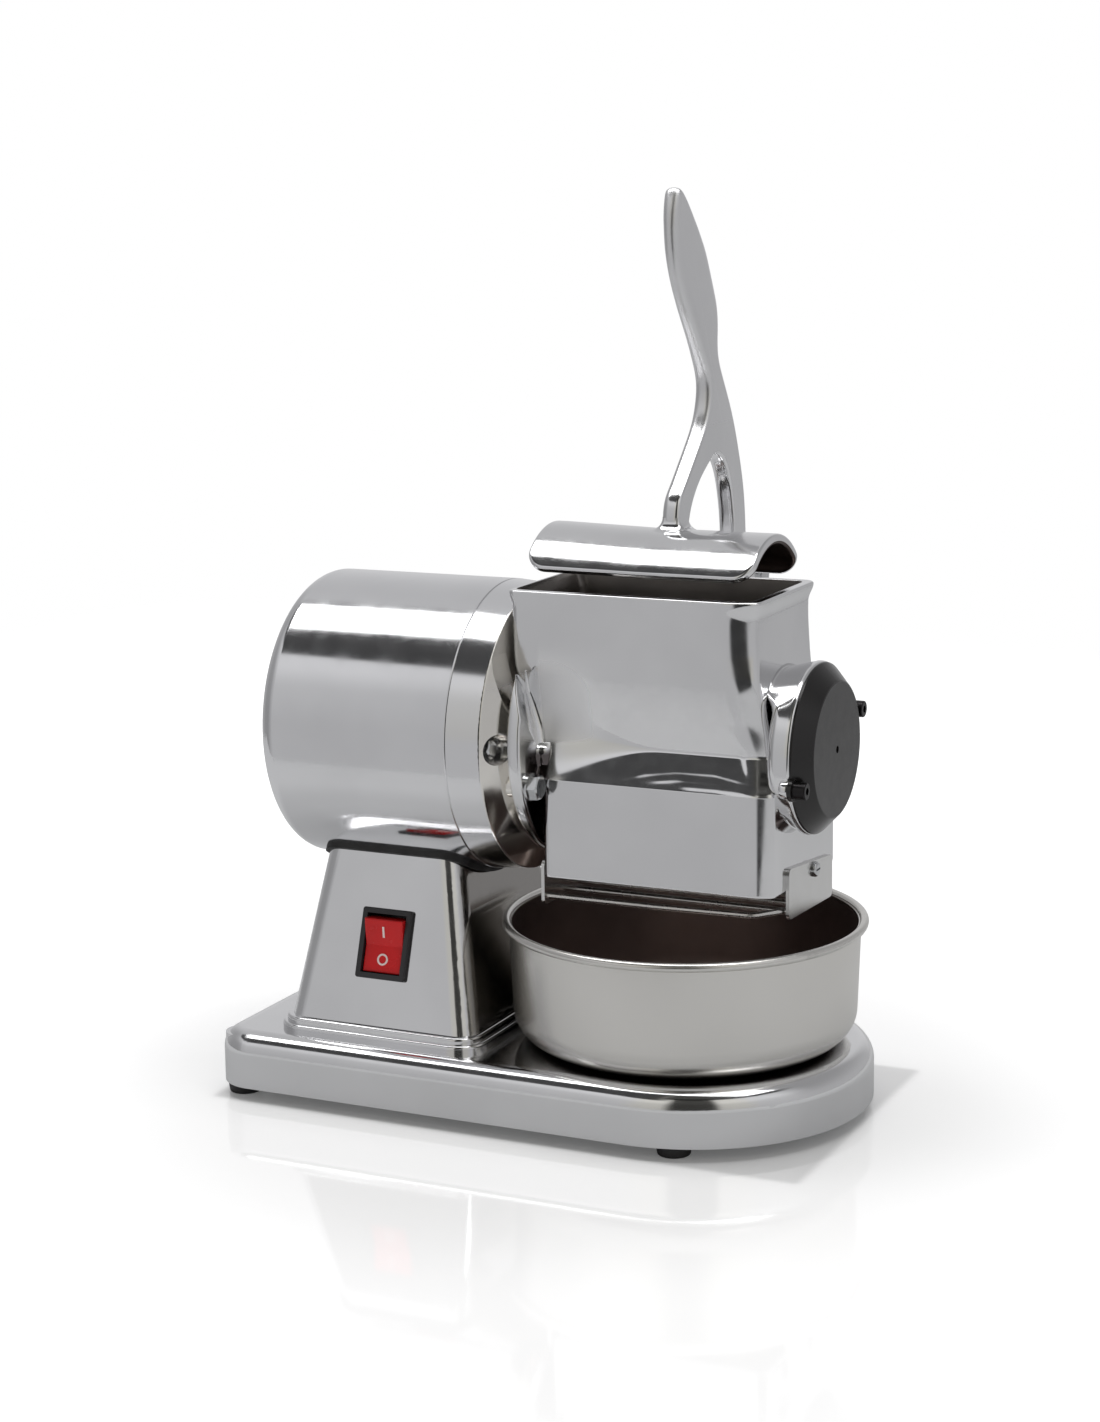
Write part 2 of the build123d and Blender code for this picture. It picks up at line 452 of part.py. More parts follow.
for by, bz in HEAD_BOLTS:
    hopper = hopper - cylx(3.2, FL_X0 - 1, FL_X1 + 1, by, AX_Z + bz)
    hopper = hopper - cylx(6.6, FL_X1, FL_X1 + 9, by, AX_Z + bz)
hopper = hopper - cylx(PIN_R, -40, 30, PIV_Y, PIV_Z)
for sy, sz in CS:
    hopper = hopper - cylx(1.65, CAP_RING_X - 3.8, CAP_RING_X + 1, sy, sz)
GS = ((CHUTE_X1 + 1.5, 1, 8.6, 108.4), (CHUTE_X0 - 1.5, -1, 26.0, 108.4))
for x, d, gy, gz in GS:
    hopper = hopper - cylx(1.6, min(x, x - d * 5.5), max(x, x - d * 5.5), gy, gz)
hsol = sorted(hopper.solids(), key=lambda s: -s.volume)
put("hopper_casting", hsol[0])

hbolts = []
for by, bz in HEAD_BOLTS:
    y, z = by, AX_Z + bz
    b = cylx(3.0, FL_X0 - 11.5, FL_X1, y, z) + cylx(6.0, FL_X1, FL_X1 + 1.2, y, z)
    hbolts.append(b + hexhead(10.0, FL_X1 + 1.2, 4.4, y, z))
put("hopper_bolts", *hbolts)

seal = cylx(15.0, FL_X0, -51.0) - cylx(SHAFT_R + 0.05, -100, 0)
seal = seal - (cylx(12.6, FL_X0 - 1, FL_X0 + 3.5) - cylx(10.0, FL_X0 - 1, FL_X0 + 3.5))
put("shaft_seal", seal)

# ------------------------------------------------------------------ drum cap
capp = Plane.XZ * make_face(Polyline((CAP_RING_X, 0), (CAP_X0, 0), (CAP_X1, 0), (CAP_X1, CAP_R1), (CAP_X0, CAP_R0), (CAP_RING_X, CAP_R0), close=True))
cap_b = revolve(capp, Axis.X)
cap_b = Pos(0, 0, AX_Z) * cap_b
cap_b = safe_fillet(cap_b, first(cap_b.edges(), lambda e: abs(e.center().X - CAP_X1) < 0.01), (1.0, 0.6))
cap_b = safe_fillet(cap_b, first(cap_b.edges(), lambda e: abs(e.center().X - CAP_X0) < 0.01 and e.length > 50), (0.8, 0.5))
cap_b = cap_b + (cylx(DRUM_BORE - 0.15, DRUM_X1 + 4.2, CAP_RING_X) - cylx(DRUM_BORE - 3.5, DRUM_X1, CAP_RING_X))
cap_b = cap_b + cylx(11.0, DRUM_X1 + 4.2, CAP_RING_X)
cap_b = cap_b - (cylx(DRUM_BORE - 6.0, CAP_RING_X - 1, CAP_X1 - 4.0) - cylx(11.0, CAP_RING_X - 1, CAP_X1))
for sy, sz in CS:
    cap_b = cap_b + cylx(4.8, CAP_RING_X, CAP_X0 + 1.2, sy, sz)
    cap_b = cap_b - cylx(2.1, CAP_RING_X - 1, CAP_X1 + 1, sy, sz)
    cap_b = cap_b - cylx(4.1, CAP_X0 + 1.2, CAP_X1 + 6, sy, sz)
cap_b = cap_b - cylx(8.0, DRUM_X1, CAP_X1 - 5.5) - cylx(1.6, CAP_X1 - 8, CAP_X1 + 1)
put("drum_cap", cap_b)
put("cap_bush", cylx(8.0, DRUM_X1 + 4.2, CAP_X1 - 5.5) - cylx(5.05, 0, 100))
cscrews = []
for sy, sz in CS:
    s = cylx(1.65, CAP_RING_X - 3.6, CAP_X0 + 1.2, sy, sz) + cylx(3.6, CAP_X0 + 1.2, CAP_X0 + 6.8, sy, sz)
    s = safe_fillet(s, first(s.edges(), lambda e: abs(e.center().X - CAP_X0 - 6.8) < 0.01), (0.5,))
    s = s - hexx(3.0, CAP_X0 + 3.8, CAP_X0 + 8, sy, sz)
    cscrews.append(s)
put("cap_screws", *cscrews)

# --------------------------------------------------- finger guard under chute
WIRE_R, WIRE_Z = 1.3, 96.4


def side_plate(x0, corners):
    """Flat sheet plate 1.5 mm thick with rounded corners, corners given as (Y, Z)."""
    f = fillet(make_face(Polyline(*corners, close=True)).vertices(), 2.5)
    return Plane((x0, 0, 0), x_dir=(0, 1, 0), z_dir=(1, 0, 0)) * extrude(f, 1.5)


WIRE_Y = (-19.0, -6.0, 7.0, 20.0)
FRONT_Y = -34.0
gr = side_plate(CHUTE_X1, ((-21.5, 93.2), (31.5, 91.0), (31.5, 109.6), (-21.5, 115.2)))
gl_ = side_plate(CHUTE_X0 - 1.5, ((-36.5, 92.6), (31.5, 92.0), (31.5, 112.0), (-36.5, 112.0)))
gr = gr - cylx(1.7, 50, 60, GS[0][2], GS[0][3])
gl_ = gl_ - cylx(1.7, -60, -45, GS[1][2], GS[1][3])
put("guard_right_plate", gr)
put("guard_left_plate", gl_)
wires = []
for y in WIRE_Y:
    wires.append(cylx(WIRE_R, CHUTE_X0, CHUTE_X1, y, WIRE_Z))
wpath = FilletPolyline((0.0, FRONT_Y, WIRE_Z), (44.0, FRONT_Y + 2.5, WIRE_Z), (53.4, -19.0, WIRE_Z), radius=7.0)
wsweep = sweep(Plane((0, FRONT_Y, WIRE_Z), x_dir=(0, 1, 0), z_dir=wpath % 0) * Circle(WIRE_R), path=wpath)
wfront = cylx(WIRE_R, CHUTE_X0, 0.0, FRONT_Y, WIRE_Z) + wsweep + Pos(0, FRONT_Y, WIRE_Z) * Sphere(WIRE_R)
wires[0] = wires[0] + wfront
put("guard_wires", *wires)
gscrews = []
for x, d, GS_Y, GS_Z in GS:
    sh = cylx(1.6, min(x, x - d * 5.0), max(x, x - d * 5.0), GS_Y, GS_Z)
    hd = cylx(3.4, min(x, x + d * 2.0), max(x, x + d * 2.0), GS_Y, GS_Z)
    hd = safe_fillet(hd, first(hd.edges(), lambda e: abs(e.center().X - x - d * 2.0) < 0.01), (1.4, 0.8))
    hd = hd - boxx(min(x + d * 1.1, x + d * 3), max(x + d * 1.1, x + d * 3), GS_Y - 2.4, GS_Y + 2.4, GS_Z - 0.4, GS_Z + 0.4)
    gscrews.append(sh + hd)
put("guard_screws", *gscrews)

# -------------------------------------------------------------- presser lever
pin = cylx(PIN_R, ARM_X - HUB_T / 2 - 10.6, ARM_X + HUB_T / 2 + 10.6, PIV_Y, PIV_Z)
for s in (-1, 1):
    gx = ARM_X + s * (HUB_T / 2 + 9.6)
    pin = pin - (cylx(PIN_R + 1, gx - 0.5, gx + 0.5, PIV_Y, PIV_Z) - cylx(PIN_R - 0.4, gx - 0.5, gx + 0.5, PIV_Y, PIV_Z))
put("hinge_pin", pin)
clips, washers = [], []
for s in (-1, 1):
    gx = ARM_X + s * (HUB_T / 2 + 9.6)
    c = cylx(6.4, gx - 0.5, gx + 0.5, PIV_Y, PIV_Z) - cylx(PIN_R - 0.4, gx - 1, gx + 1, PIV_Y, PIV_Z)
    c = c - boxx(gx - 1, gx + 1, PIV_Y - 2.2, PIV_Y + 2.2, PIV_Z - 10, PIV_Z - 2.5)
    clips.append(c)
    wx = ARM_X + s * (HUB_T / 2 + 0.6)
    washers.append(cylx(8.5, wx - 0.5, wx + 0.5, PIV_Y, PIV_Z) - cylx(PIN_R, wx - 1, wx + 1, PIV_Y, PIV_Z))
put("pin_clips", *clips)
put("hinge_washers", *washers)

ARM_FRONT = [(-1.0, 250.0), (-0.6, 258.0), (2.4, 266.0), (9.8, 277.4), (20.3, 289.2), (30.3, 297.4), (34.8, 304.5),
             (35.6, 312.0), (31.0, 321.0), (23.8, 331.0), (16.0, 341.0), (9.2, 350.5), (3.6, 361.0), (0.4, 371.0), (-0.6, 381.0), (0.8, 390.4)]
ARM_TOP = (4.4, 395.8)
ARM_BACK = [(9.8, 393.6), (18.6, 386.2), (32.6, 371.2), (41.6, 356.0), (46.6, 345.1), (47.4, 334.4), (47.0, 325.0),
            (51.6, 314.2), (61.0, 298.5), (69.3, 280.2), (75.3, 261.6), (77.6, 243.3), (78.2, 229.0)]
GAP_BACK = [(60.2, 222.0), (62.6, 234.0), (63.2, 245.1), (60.8, 258.8), (55.0, 272.6), (46.6, 279.9)]
GAP_TOP = (41.6, 280.8)
GAP_FRONT = [(36.4, 278.6), (27.2, 273.2), (18.2, 265.6), (12.2, 256.0), (10.4, 249.0)]
outer = Spline([*ARM_FRONT, ARM_TOP, *ARM_BACK])
toe = Line(ARM_BACK[-1], GAP_BACK[0])
gap = Spline([*GAP_BACK, GAP_TOP, *GAP_FRONT])
heel = Line(GAP_FRONT[-1], ARM_FRONT[0])
arm_face = make_face([outer, toe, gap, heel])
YZP = Plane((ARM_X - ARM_T / 2, 0, 0), x_dir=(0, 1, 0), z_dir=(1, 0, 0))
arm = YZP * extrude(arm_face, ARM_T)
long_edges = first(arm.edges(), lambda e: e.length > 60)
arm = safe_fillet(arm, long_edges, (3.2, 2.8, 2.2, 1.6))

def pol(c, r, a):
    t = math.radians(a)
    return (c[0] + r * math.sin(t), c[1] + r * math.cos(t))


CURL_C = pol(PLATE_C, PLATE_R - CURL_R, PLATE_A1)
am, cm = (PLATE_A0 + PLATE_A1) / 2, (PLATE_A1 + CURL_A) / 2
ri, rc = PLATE_R - PLATE_T, CURL_R - PLATE_T
pl_face = make_face([
    ThreePointArc(pol(PLATE_C, PLATE_R, PLATE_A0), pol(PLATE_C, PLATE_R, am), pol(PLATE_C, PLATE_R, PLATE_A1)),
    ThreePointArc(pol(CURL_C, CURL_R, PLATE_A1), pol(CURL_C, CURL_R, cm), pol(CURL_C, CURL_R, CURL_A)),
    Line(pol(CURL_C, CURL_R, CURL_A), pol(CURL_C, rc, CURL_A)),
    ThreePointArc(pol(CURL_C, rc, CURL_A), pol(CURL_C, rc, cm), pol(CURL_C, rc, PLATE_A1)),
    ThreePointArc(pol(PLATE_C, ri, PLATE_A1), pol(PLATE_C, ri, am), pol(PLATE_C, ri, PLATE_A0)),
    Line(pol(PLATE_C, ri, PLATE_A0), pol(PLATE_C, PLATE_R, PLATE_A0))])
PXP = Plane((PLATE_X0, 0, 0), x_dir=(0, 1, 0), z_dir=(1, 0, 0))
plt_ = PXP * extrude(pl_face, PLATE_X1 - PLATE_X0)
plt_ = safe_fillet(plt_, first(plt_.edges(), lambda e: abs(e.length - PLATE_T) < 0.05), (9.0, 6.0, 4.0))
plt_ = safe_fillet(plt_, plt_.edges(), (1.1, 0.8, 0.5))
hub = cylx(9.2, ARM_X - HUB_T / 2, ARM_X + HUB_T / 2, PIV_Y, PIV_Z)
lever = arm + plt_ + hub
joint_edges = first(lever.edges(), lambda e: e.center().Z > 248 and e.center().Z < 256 and abs(e.center().X - ARM_X) < 7 and e.length < 30 and -8 < e.center().Y < 18)
lever = safe_fillet(lever, joint_edges, (4.0, 3.0, 2.0, 1.0)) if joint_edges else lever
lever = lever - cylx(PIN_R + 0.05, -60, 40, PIV_Y, PIV_Z)
lsol = sorted(lever.solids(), key=lambda s: -s.volume)
put("presser_lever", lsol[0])

# ---------------------------------------------------------------------- bowl
RW0, RW1, RF = 75.2, 76.7, 14.0      # wall radius low and high, radius of the bottom corner
k = RF * (1 - math.sqrt(0.5))
ki = (RF - BOWL_T) * (1 - math.sqrt(0.5))
zt = BOWL_Z1 - 2.0
b_out = [Line((0, BOWL_Z0), (RW0 - RF, BOWL_Z0)),
         ThreePointArc((RW0 - RF, BOWL_Z0), (RW0 - k, BOWL_Z0 + k), (RW0, BOWL_Z0 + RF)),
         Line((RW0, BOWL_Z0 + RF), (RW1, zt)),
         Line((RW1, zt), (RW1 - BOWL_T, zt)),
         Line((RW1 - BOWL_T, zt), (RW0 - BOWL_T, BOWL_Z0 + RF)),
         ThreePointArc((RW0 - BOWL_T, BOWL_Z0 + RF), (RW0 - BOWL_T - ki, BOWL_Z0 + BOWL_T + ki), (RW0 - RF, BOWL_Z0 + BOWL_T)),
         Line((RW0 - RF, BOWL_Z0 + BOWL_T), (0, BOWL_Z0 + BOWL_T)),
         Line((0, BOWL_Z0 + BOWL_T), (0, BOWL_Z0))]
bowl = revolve(Plane.XZ * make_face(b_out), Axis.Z)
bowl = bowl + Pos(0, 0, BOWL_Z1 - 1.9) * Torus(BOWL_R - 1.9, 1.9)
bsol = sorted(bowl.solids(), key=lambda s: -s.volume)
put("bowl", bsol[0])

# -------------------------------------------------------------------- export
for name, solids in nodes.items():
    out = []
    for s in solids:
        for q in (s.solids() if hasattr(s, "solids") else [s]):
            out.append(Pos(BOWL_X, 0, 0) * q)
    shape = out[0] if len(out) == 1 else Compound(children=out)
    export_step(shape, "parts/" + name + ".step")
    print(name, len(out), round(sum(o.volume for o in out) / 1000.0, 2), "cm3", all(o.is_valid for o in out))
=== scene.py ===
import json
import math
import bpy
import bmesh
import numpy as np
from mathutils import Matrix, Vector


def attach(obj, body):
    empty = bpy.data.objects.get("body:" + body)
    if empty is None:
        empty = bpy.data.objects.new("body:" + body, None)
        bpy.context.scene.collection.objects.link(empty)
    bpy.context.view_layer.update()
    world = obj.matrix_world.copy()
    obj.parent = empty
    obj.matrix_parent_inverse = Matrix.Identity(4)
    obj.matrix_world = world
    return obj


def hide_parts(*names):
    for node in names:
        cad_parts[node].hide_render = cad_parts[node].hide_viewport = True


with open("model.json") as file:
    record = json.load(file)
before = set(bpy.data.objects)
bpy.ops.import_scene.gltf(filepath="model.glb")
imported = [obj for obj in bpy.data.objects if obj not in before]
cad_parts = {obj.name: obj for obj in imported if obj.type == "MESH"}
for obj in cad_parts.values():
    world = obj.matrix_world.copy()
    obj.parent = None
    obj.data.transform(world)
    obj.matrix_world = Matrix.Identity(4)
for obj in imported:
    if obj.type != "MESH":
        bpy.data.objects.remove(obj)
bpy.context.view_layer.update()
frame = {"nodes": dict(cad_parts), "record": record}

NODES = frame["nodes"]
SHIFT = 56.95            # every X below that is measured from the bowl centre is moved by this much (mm)


# ------------------------------------------------------------------ node helpers
class Graph:
    """Short-hand for building a node tree."""

    def __init__(self, tree):
        self.t = tree

    def n(self, kind, **props):
        node = self.t.nodes.new(kind)
        for k, v in props.items():
            setattr(node, k, v)
        return node

    def put(self, value, socket):
        if hasattr(value, "is_linked"):
            self.t.links.new(value, socket)
        else:
            socket.default_value = value

    def math(self, op, a, b=0.0, c=0.0, clamp=False):
        m = self.n("ShaderNodeMath", operation=op, use_clamp=clamp)
        for i, v in enumerate((a, b, c)):
            self.put(v, m.inputs[i])
        return m.outputs[0]

    def ramp(self, v, lo, hi, a=0.0, b=1.0, smooth=True):
        m = self.n("ShaderNodeMapRange", interpolation_type="SMOOTHSTEP" if smooth else "LINEAR")
        for i, x in enumerate((v, lo, hi, a, b)):
            self.put(x, m.inputs[i])
        return m.outputs[0]

    def noise(self, vec, scale, detail=2.0, rough=0.5):
        m = self.n("ShaderNodeTexNoise")
        self.put(vec, m.inputs["Vector"])
        m.inputs["Scale"].default_value = scale
        m.inputs["Detail"].default_value = detail
        m.inputs["Roughness"].default_value = rough
        return m.outputs["Fac"]

    def stretch(self, vec, scale):
        m = self.n("ShaderNodeMapping")
        self.put(vec, m.inputs["Vector"])
        m.inputs["Scale"].default_value = scale
        return m.outputs["Vector"]

    def mix(self, fac, a, b):
        m = self.n("ShaderNodeMix", data_type="RGBA")
        self.put(fac, m.inputs["Factor"])
        self.put(a, m.inputs["A"])
        self.put(b, m.inputs["B"])
        return m.outputs["Result"]

    def bump(self, height, dist, strength=1.0, normal=None):
        m = self.n("ShaderNodeBump")
        m.inputs["Strength"].default_value = strength
        m.inputs["Distance"].default_value = dist
        self.put(height, m.inputs["Height"])
        if normal is not None:
            self.put(normal, m.inputs["Normal"])
        return m.outputs["Normal"]


def material(name):
    m = bpy.data.materials.new(name)
    m.use_nodes = True
    m.node_tree.nodes.clear()
    g = Graph(m.node_tree)
    out = g.n("ShaderNodeOutputMaterial")
    b = g.n("ShaderNodeBsdfPrincipled")
    g.put(b.outputs[0], out.inputs["Surface"])
    tc = g.n("ShaderNodeTexCoord").outputs["Object"]
    return m, g, b, tc


def rgb(r, g, b):
    return (r, g, b, 1.0)


def metal(name, col, rough, wave=(22.0, 2.0e-5), lines=None, line_dist=1.2e-6, blotch=0.06, aniso=0.0, tangent=None, grime=None):
    """Metal with slow waviness, fine polishing lines and a little uneven gloss."""
    m, g, b, tc = material(name)
    b.inputs["Metallic"].default_value = 1.0
    slow = g.noise(tc, 14.0, 3.0, 0.55)
    dark = tuple(c * (1.0 - blotch) for c in col)
    colour = g.mix(g.ramp(slow, 0.35, 0.65), rgb(*dark), rgb(*col))
    if grime is not None:
        spots = g.ramp(g.noise(tc, 210.0, 4.0, 0.62), 0.60, 0.74)
        colour = g.mix(g.math("MULTIPLY", spots, grime[1]), colour, rgb(*grime[0]))
    g.put(colour, b.inputs["Base Color"])
    fine = g.noise(tc, 95.0, 4.0, 0.6)
    g.put(g.ramp(fine, 0.3, 0.7, rough[0], rough[1]), b.inputs["Roughness"])
    normal = g.bump(g.noise(tc, wave[0], 2.0, 0.45), wave[1])
    if lines is not None:
        normal = g.bump(g.noise(g.stretch(tc, lines), 1.0, 3.0, 0.6), line_dist, 1.0, normal)
    g.put(normal, b.inputs["Normal"])
    if aniso:
        b.inputs["Anisotropic"].default_value = aniso
        if tangent:
            t = g.n("ShaderNodeTangent", direction_type="RADIAL", axis=tangent)
            g.put(t.outputs[0], b.inputs["Tangent"])
    return m


def plastic(name, col, rough, grain=(900.0, 6.0e-6), spread=0.25, spec=0.5, coat=0.0, ior=1.5):
    """Moulded plastic or rubber: fine grain, slightly uneven colour and gloss."""
    m, g, b, tc = material(name)
    slow = g.noise(tc, 30.0, 3.0)
    low = tuple(c * (1.0 - spread) for c in col)
    g.put(g.mix(g.ramp(slow, 0.3, 0.7), rgb(*low), rgb(*col)), b.inputs["Base Color"])
    fine = g.noise(tc, 160.0, 3.0)
    g.put(g.ramp(fine, 0.3, 0.7, rough[0], rough[1]), b.inputs["Roughness"])
    b.inputs["Specular IOR Level"].default_value = spec
    b.inputs["IOR"].default_value = ior
    if coat:
        b.inputs["Coat Weight"].default_value = coat
        b.inputs["Coat Roughness"].default_value = 0.08
    g.put(g.bump(g.noise(tc, grain[0], 3.0), grain[1]), b.inputs["Normal"])
    return m


MAT = {
    "polished_aluminium": metal("polished_aluminium", (0.86, 0.86, 0.87), (0.09, 0.15), (26.0, 3.0e-5), (1500.0, 60.0, 900.0), 4.0e-7),
    "motor_aluminium": metal("motor_aluminium", (0.86, 0.86, 0.875), (0.09, 0.15), (24.0, 2.4e-5), (2200.0, 25.0, 25.0), 5.0e-7),
    "satin_stainless": metal("satin_stainless", (0.72, 0.705, 0.68), (0.22, 0.30), (18.0, 1.0e-5), (40.0, 40.0, 2200.0), 1.2e-7, aniso=0.4, tangent="Z"),
    "zinc_sheet": metal("zinc_sheet", (0.62, 0.64, 0.66), (0.28, 0.42), (30.0, 2.0e-5), None, blotch=0.2),
    "zinc_steel": metal("zinc_steel", (0.70, 0.71, 0.72), (0.14, 0.22), (200.0, 4.0e-6), None, blotch=0.1),
    "black_steel": metal("black_steel", (0.035, 0.033, 0.034), (0.25, 0.36), (300.0, 3.0e-6), None, blotch=0.2),
    "shaft_steel": metal("shaft_steel", (0.62, 0.62, 0.63), (0.16, 0.24), (60.0, 3.0e-6), (2600.0, 40.0, 40.0), 4.0e-7),
    "bearing_steel": metal("bearing_steel", (0.70, 0.70, 0.71), (0.10, 0.16), (60.0, 2.0e-6), None),
    "lamination_steel": metal("lamination_steel", (0.30, 0.30, 0.32), (0.36, 0.48), (60.0, 4.0e-6), (2000.0, 4.0, 4.0), 8.0e-6, blotch=0.2),
    "copper_wire": metal("copper_wire", (0.66, 0.28, 0.12), (0.25, 0.36), (60.0, 1.0e-5), (30.0, 700.0, 700.0), 4.0e-5, blotch=0.25),
    "bronze": metal("bronze", (0.62, 0.42, 0.20), (0.28, 0.4), (200.0, 6.0e-6), None, blotch=0.2),
    "black_rubber": plastic("black_rubber", (0.022, 0.021, 0.022), (0.5, 0.68), (1400.0, 1.0e-5)),
    "black_plastic": plastic("black_plastic", (0.024, 0.023, 0.026), (0.28, 0.4), (1500.0, 4.0e-6)),
    "cap_plastic": plastic("cap_plastic", (0.008, 0.0068, 0.0068), (0.20, 0.26), (2200.0, 1.0e-6), 0.1, 0.55),
    "red_plastic": plastic("red_plastic", (0.66, 0.012, 0.014), (0.20, 0.28), (700.0, 2.0e-6), 0.18, 0.3),
    "mark_white": plastic("mark_white", (0.90, 0.74, 0.72), (0.4, 0.5), (900.0, 2.0e-6), 0.06),
    "white_plastic": plastic("white_plastic", (0.78, 0.78, 0.74), (0.35, 0.5), (800.0, 5.0e-6), 0.08),
}


# plain bright sheet of the guard
SHEET = metal("guard_sheet", (0.80, 0.795, 0.785), (0.20, 0.27), (14.0, 6.0e-6), None, blotch=0.05)
# unpolished inside of the castings; the first is near black, painted shade for the underside of the presser plate
SHADE_CASTING = metal("shaded_casting", (0.085, 0.062, 0.055), (0.36, 0.48), (60.0, 4.0e-5), None, blotch=0.25)
RAW = metal("raw_casting", (0.43, 0.40, 0.38), (0.34, 0.46), (60.0, 4.0e-5), None, blotch=0.25)


def bowl_metal():
    """Spun stainless: even satin outside, dull inside, with painted shade darkening the inside and the underside."""
    m, g, b, tc = material("bowl_stainless")
    b.inputs["Metallic"].default_value = 1.0
    sep = g.n("ShaderNodeSeparateXYZ")
    g.put(tc, sep.inputs[0])
    dx = g.math("SUBTRACT", sep.outputs[0], SHIFT / 1000)
    rad = g.math("SQRT", g.math("ADD", g.math("MULTIPLY", dx, dx), g.math("MULTIPLY", sep.outputs[1], sep.outputs[1])))
    face = g.n("ShaderNodeSeparateXYZ")
    g.put(g.n("ShaderNodeTexCoord").outputs["Normal"], face.inputs[0])
    out = g.math("DIVIDE", g.math("ADD", g.math("MULTIPLY", dx, face.outputs[0]), g.math("MULTIPLY", sep.outputs[1], face.outputs[1])), rad)
    # painted shade: inside the wall and on the floor of the bowl the colour is darkened
    inside = g.math("MULTIPLY", g.ramp(out, -0.30, -0.10, 1.0, 0.0), g.ramp(sep.outputs[2], 0.0825, 0.0840, 1.0, 0.0))
    bottom = g.math("MULTIPLY", g.ramp(face.outputs[2], 0.2, 0.4), g.ramp(sep.outputs[2], 0.050, 0.060, 1.0, 0.0))
    inside = g.math("MAXIMUM", inside, bottom)
    slow = g.ramp(g.noise(tc, 9.0, 2.0), 0.3, 0.7)
    shell = g.mix(slow, rgb(0.765, 0.75, 0.72), rgb(0.805, 0.79, 0.76))
    # painted shade: near black under the bottom rounding, on the bowl's underside
    shell = g.mix(g.ramp(sep.outputs[2], 0.0316, 0.0348), rgb(0.06, 0.05, 0.045), shell)
    inside_shade = g.mix(g.ramp(g.noise(tc, 16.0, 3.0), 0.3, 0.7), rgb(0.25, 0.20, 0.19), rgb(0.35, 0.29, 0.27))
    g.put(g.mix(inside, shell, inside_shade), b.inputs["Base Color"])
    g.put(g.ramp(inside, 0.0, 1.0, 0.27, 0.36), b.inputs["Roughness"])
    g.put(g.bump(g.noise(g.stretch(tc, (60.0, 60.0, 2600.0)), 1.0, 2.0), 6.0e-8), b.inputs["Normal"])
    b.inputs["Anisotropic"].default_value = 0.35
    t = g.n("ShaderNodeTangent", direction_type="RADIAL", axis="Z")
    g.put(t.outputs[0], b.inputs["Tangent"])
    return m


def shield_metal():
    """Motor end shield: polished, the cone towards the hopper a shade warmer."""
    m = MAT["motor_aluminium"].copy()
    m.name = "motor_shield"
    g = Graph(m.node_tree)
    b = next(n for n in m.node_tree.nodes if n.type == "BSDF_PRINCIPLED")
    sep = g.n("ShaderNodeSeparateXYZ")
    g.put(g.n("ShaderNodeTexCoord").outputs["Object"], sep.inputs[0])
    face = g.ramp(sep.outputs[0], -0.0106, -0.0100)
    g.put(g.ramp(g.math("MULTIPLY", face, g.ramp(sep.outputs[2], 0.184, 0.196)), 0.0, 1.0, 0.125, 0.55), b.inputs["Roughness"])
    g.put(g.mix(face, rgb(0.86, 0.86, 0.875), rgb(0.88, 0.855, 0.81)), b.inputs["Base Color"])
    return m


def hopper_metal(o):
    """Polished casting, left duller on the front beside the neck, where a wheel does not reach."""
    m = MAT["polished_aluminium"].copy()
    m.name = "hopper_aluminium"
    g = Graph(m.node_tree)
    b = next(n for n in m.node_tree.nodes if n.type == "BSDF_PRINCIPLED")
    sep = g.n("ShaderNodeSeparateXYZ")
    g.put(g.n("ShaderNodeTexCoord").outputs["Object"], sep.inputs[0])
    across = g.math("MULTIPLY", g.ramp(sep.outputs[0], 0.003, 0.006), g.ramp(sep.outputs[0], 0.008, 0.046, 1.0, 0.0))
    along = g.math("MULTIPLY", g.ramp(sep.outputs[2], 0.160, 0.168), g.ramp(sep.outputs[2], 0.186, 0.212, 1.0, 0.0))
    front = g.ramp(sep.outputs[1], -0.027, -0.024, 1.0, 0.0)
    dull = g.math("MULTIPLY", g.math("MULTIPLY", across, along), front)
    plain = b.inputs["Roughness"].links[0].from_socket
    g.put(g.math("MAXIMUM", plain, g.ramp(dull, 0.0, 0.8, 0.0, 0.42)), b.inputs["Roughness"])
    tone = b.inputs["Base Color"].links[0].from_socket
    tone = g.mix(g.ramp(dull, 0.0, 0.8), tone, rgb(0.97, 0.97, 0.975))
    # painted shade: the hollow between flange and chute is darkened in colour
    wide = g.math("MULTIPLY", g.ramp(sep.outputs[0], 0.0022, 0.0030), g.ramp(sep.outputs[0], 0.0088, 0.0096, 1.0, 0.0))
    deep = g.math("MULTIPLY", g.ramp(sep.outputs[1], -0.0490, -0.0470), g.ramp(sep.outputs[1], -0.022, -0.020, 1.0, 0.0))
    hollow_shade = g.math("MULTIPLY", g.math("MULTIPLY", wide, deep), g.ramp(sep.outputs[2], 0.1585, 0.1625, 1.0, 0.0))
    g.put(g.mix(hollow_shade, tone, rgb(0.13, 0.115, 0.115)), b.inputs["Base Color"])
    o.data.materials[0] = m


def lever_metal(o):
    """Polished casting, the arm and the grip worn to a satin by the hand."""
    m = MAT["polished_aluminium"].copy()
    m.name = "lever_aluminium"
    g = Graph(m.node_tree)
    b = next(n for n in m.node_tree.nodes if n.type == "BSDF_PRINCIPLED")
    sep = g.n("ShaderNodeSeparateXYZ")
    g.put(g.n("ShaderNodeTexCoord").outputs["Object"], sep.inputs[0])
    worn = g.ramp(sep.outputs[2], 0.262, 0.312, 0.10, 0.34)
    plain = b.inputs["Roughness"].links[0].from_socket
    g.put(g.math("MAXIMUM", plain, worn), b.inputs["Roughness"])
    o.data.materials[0] = m


def dress(obj, slot):
    obj.data.materials.clear()
    obj.data.materials.append(MAT[slot])


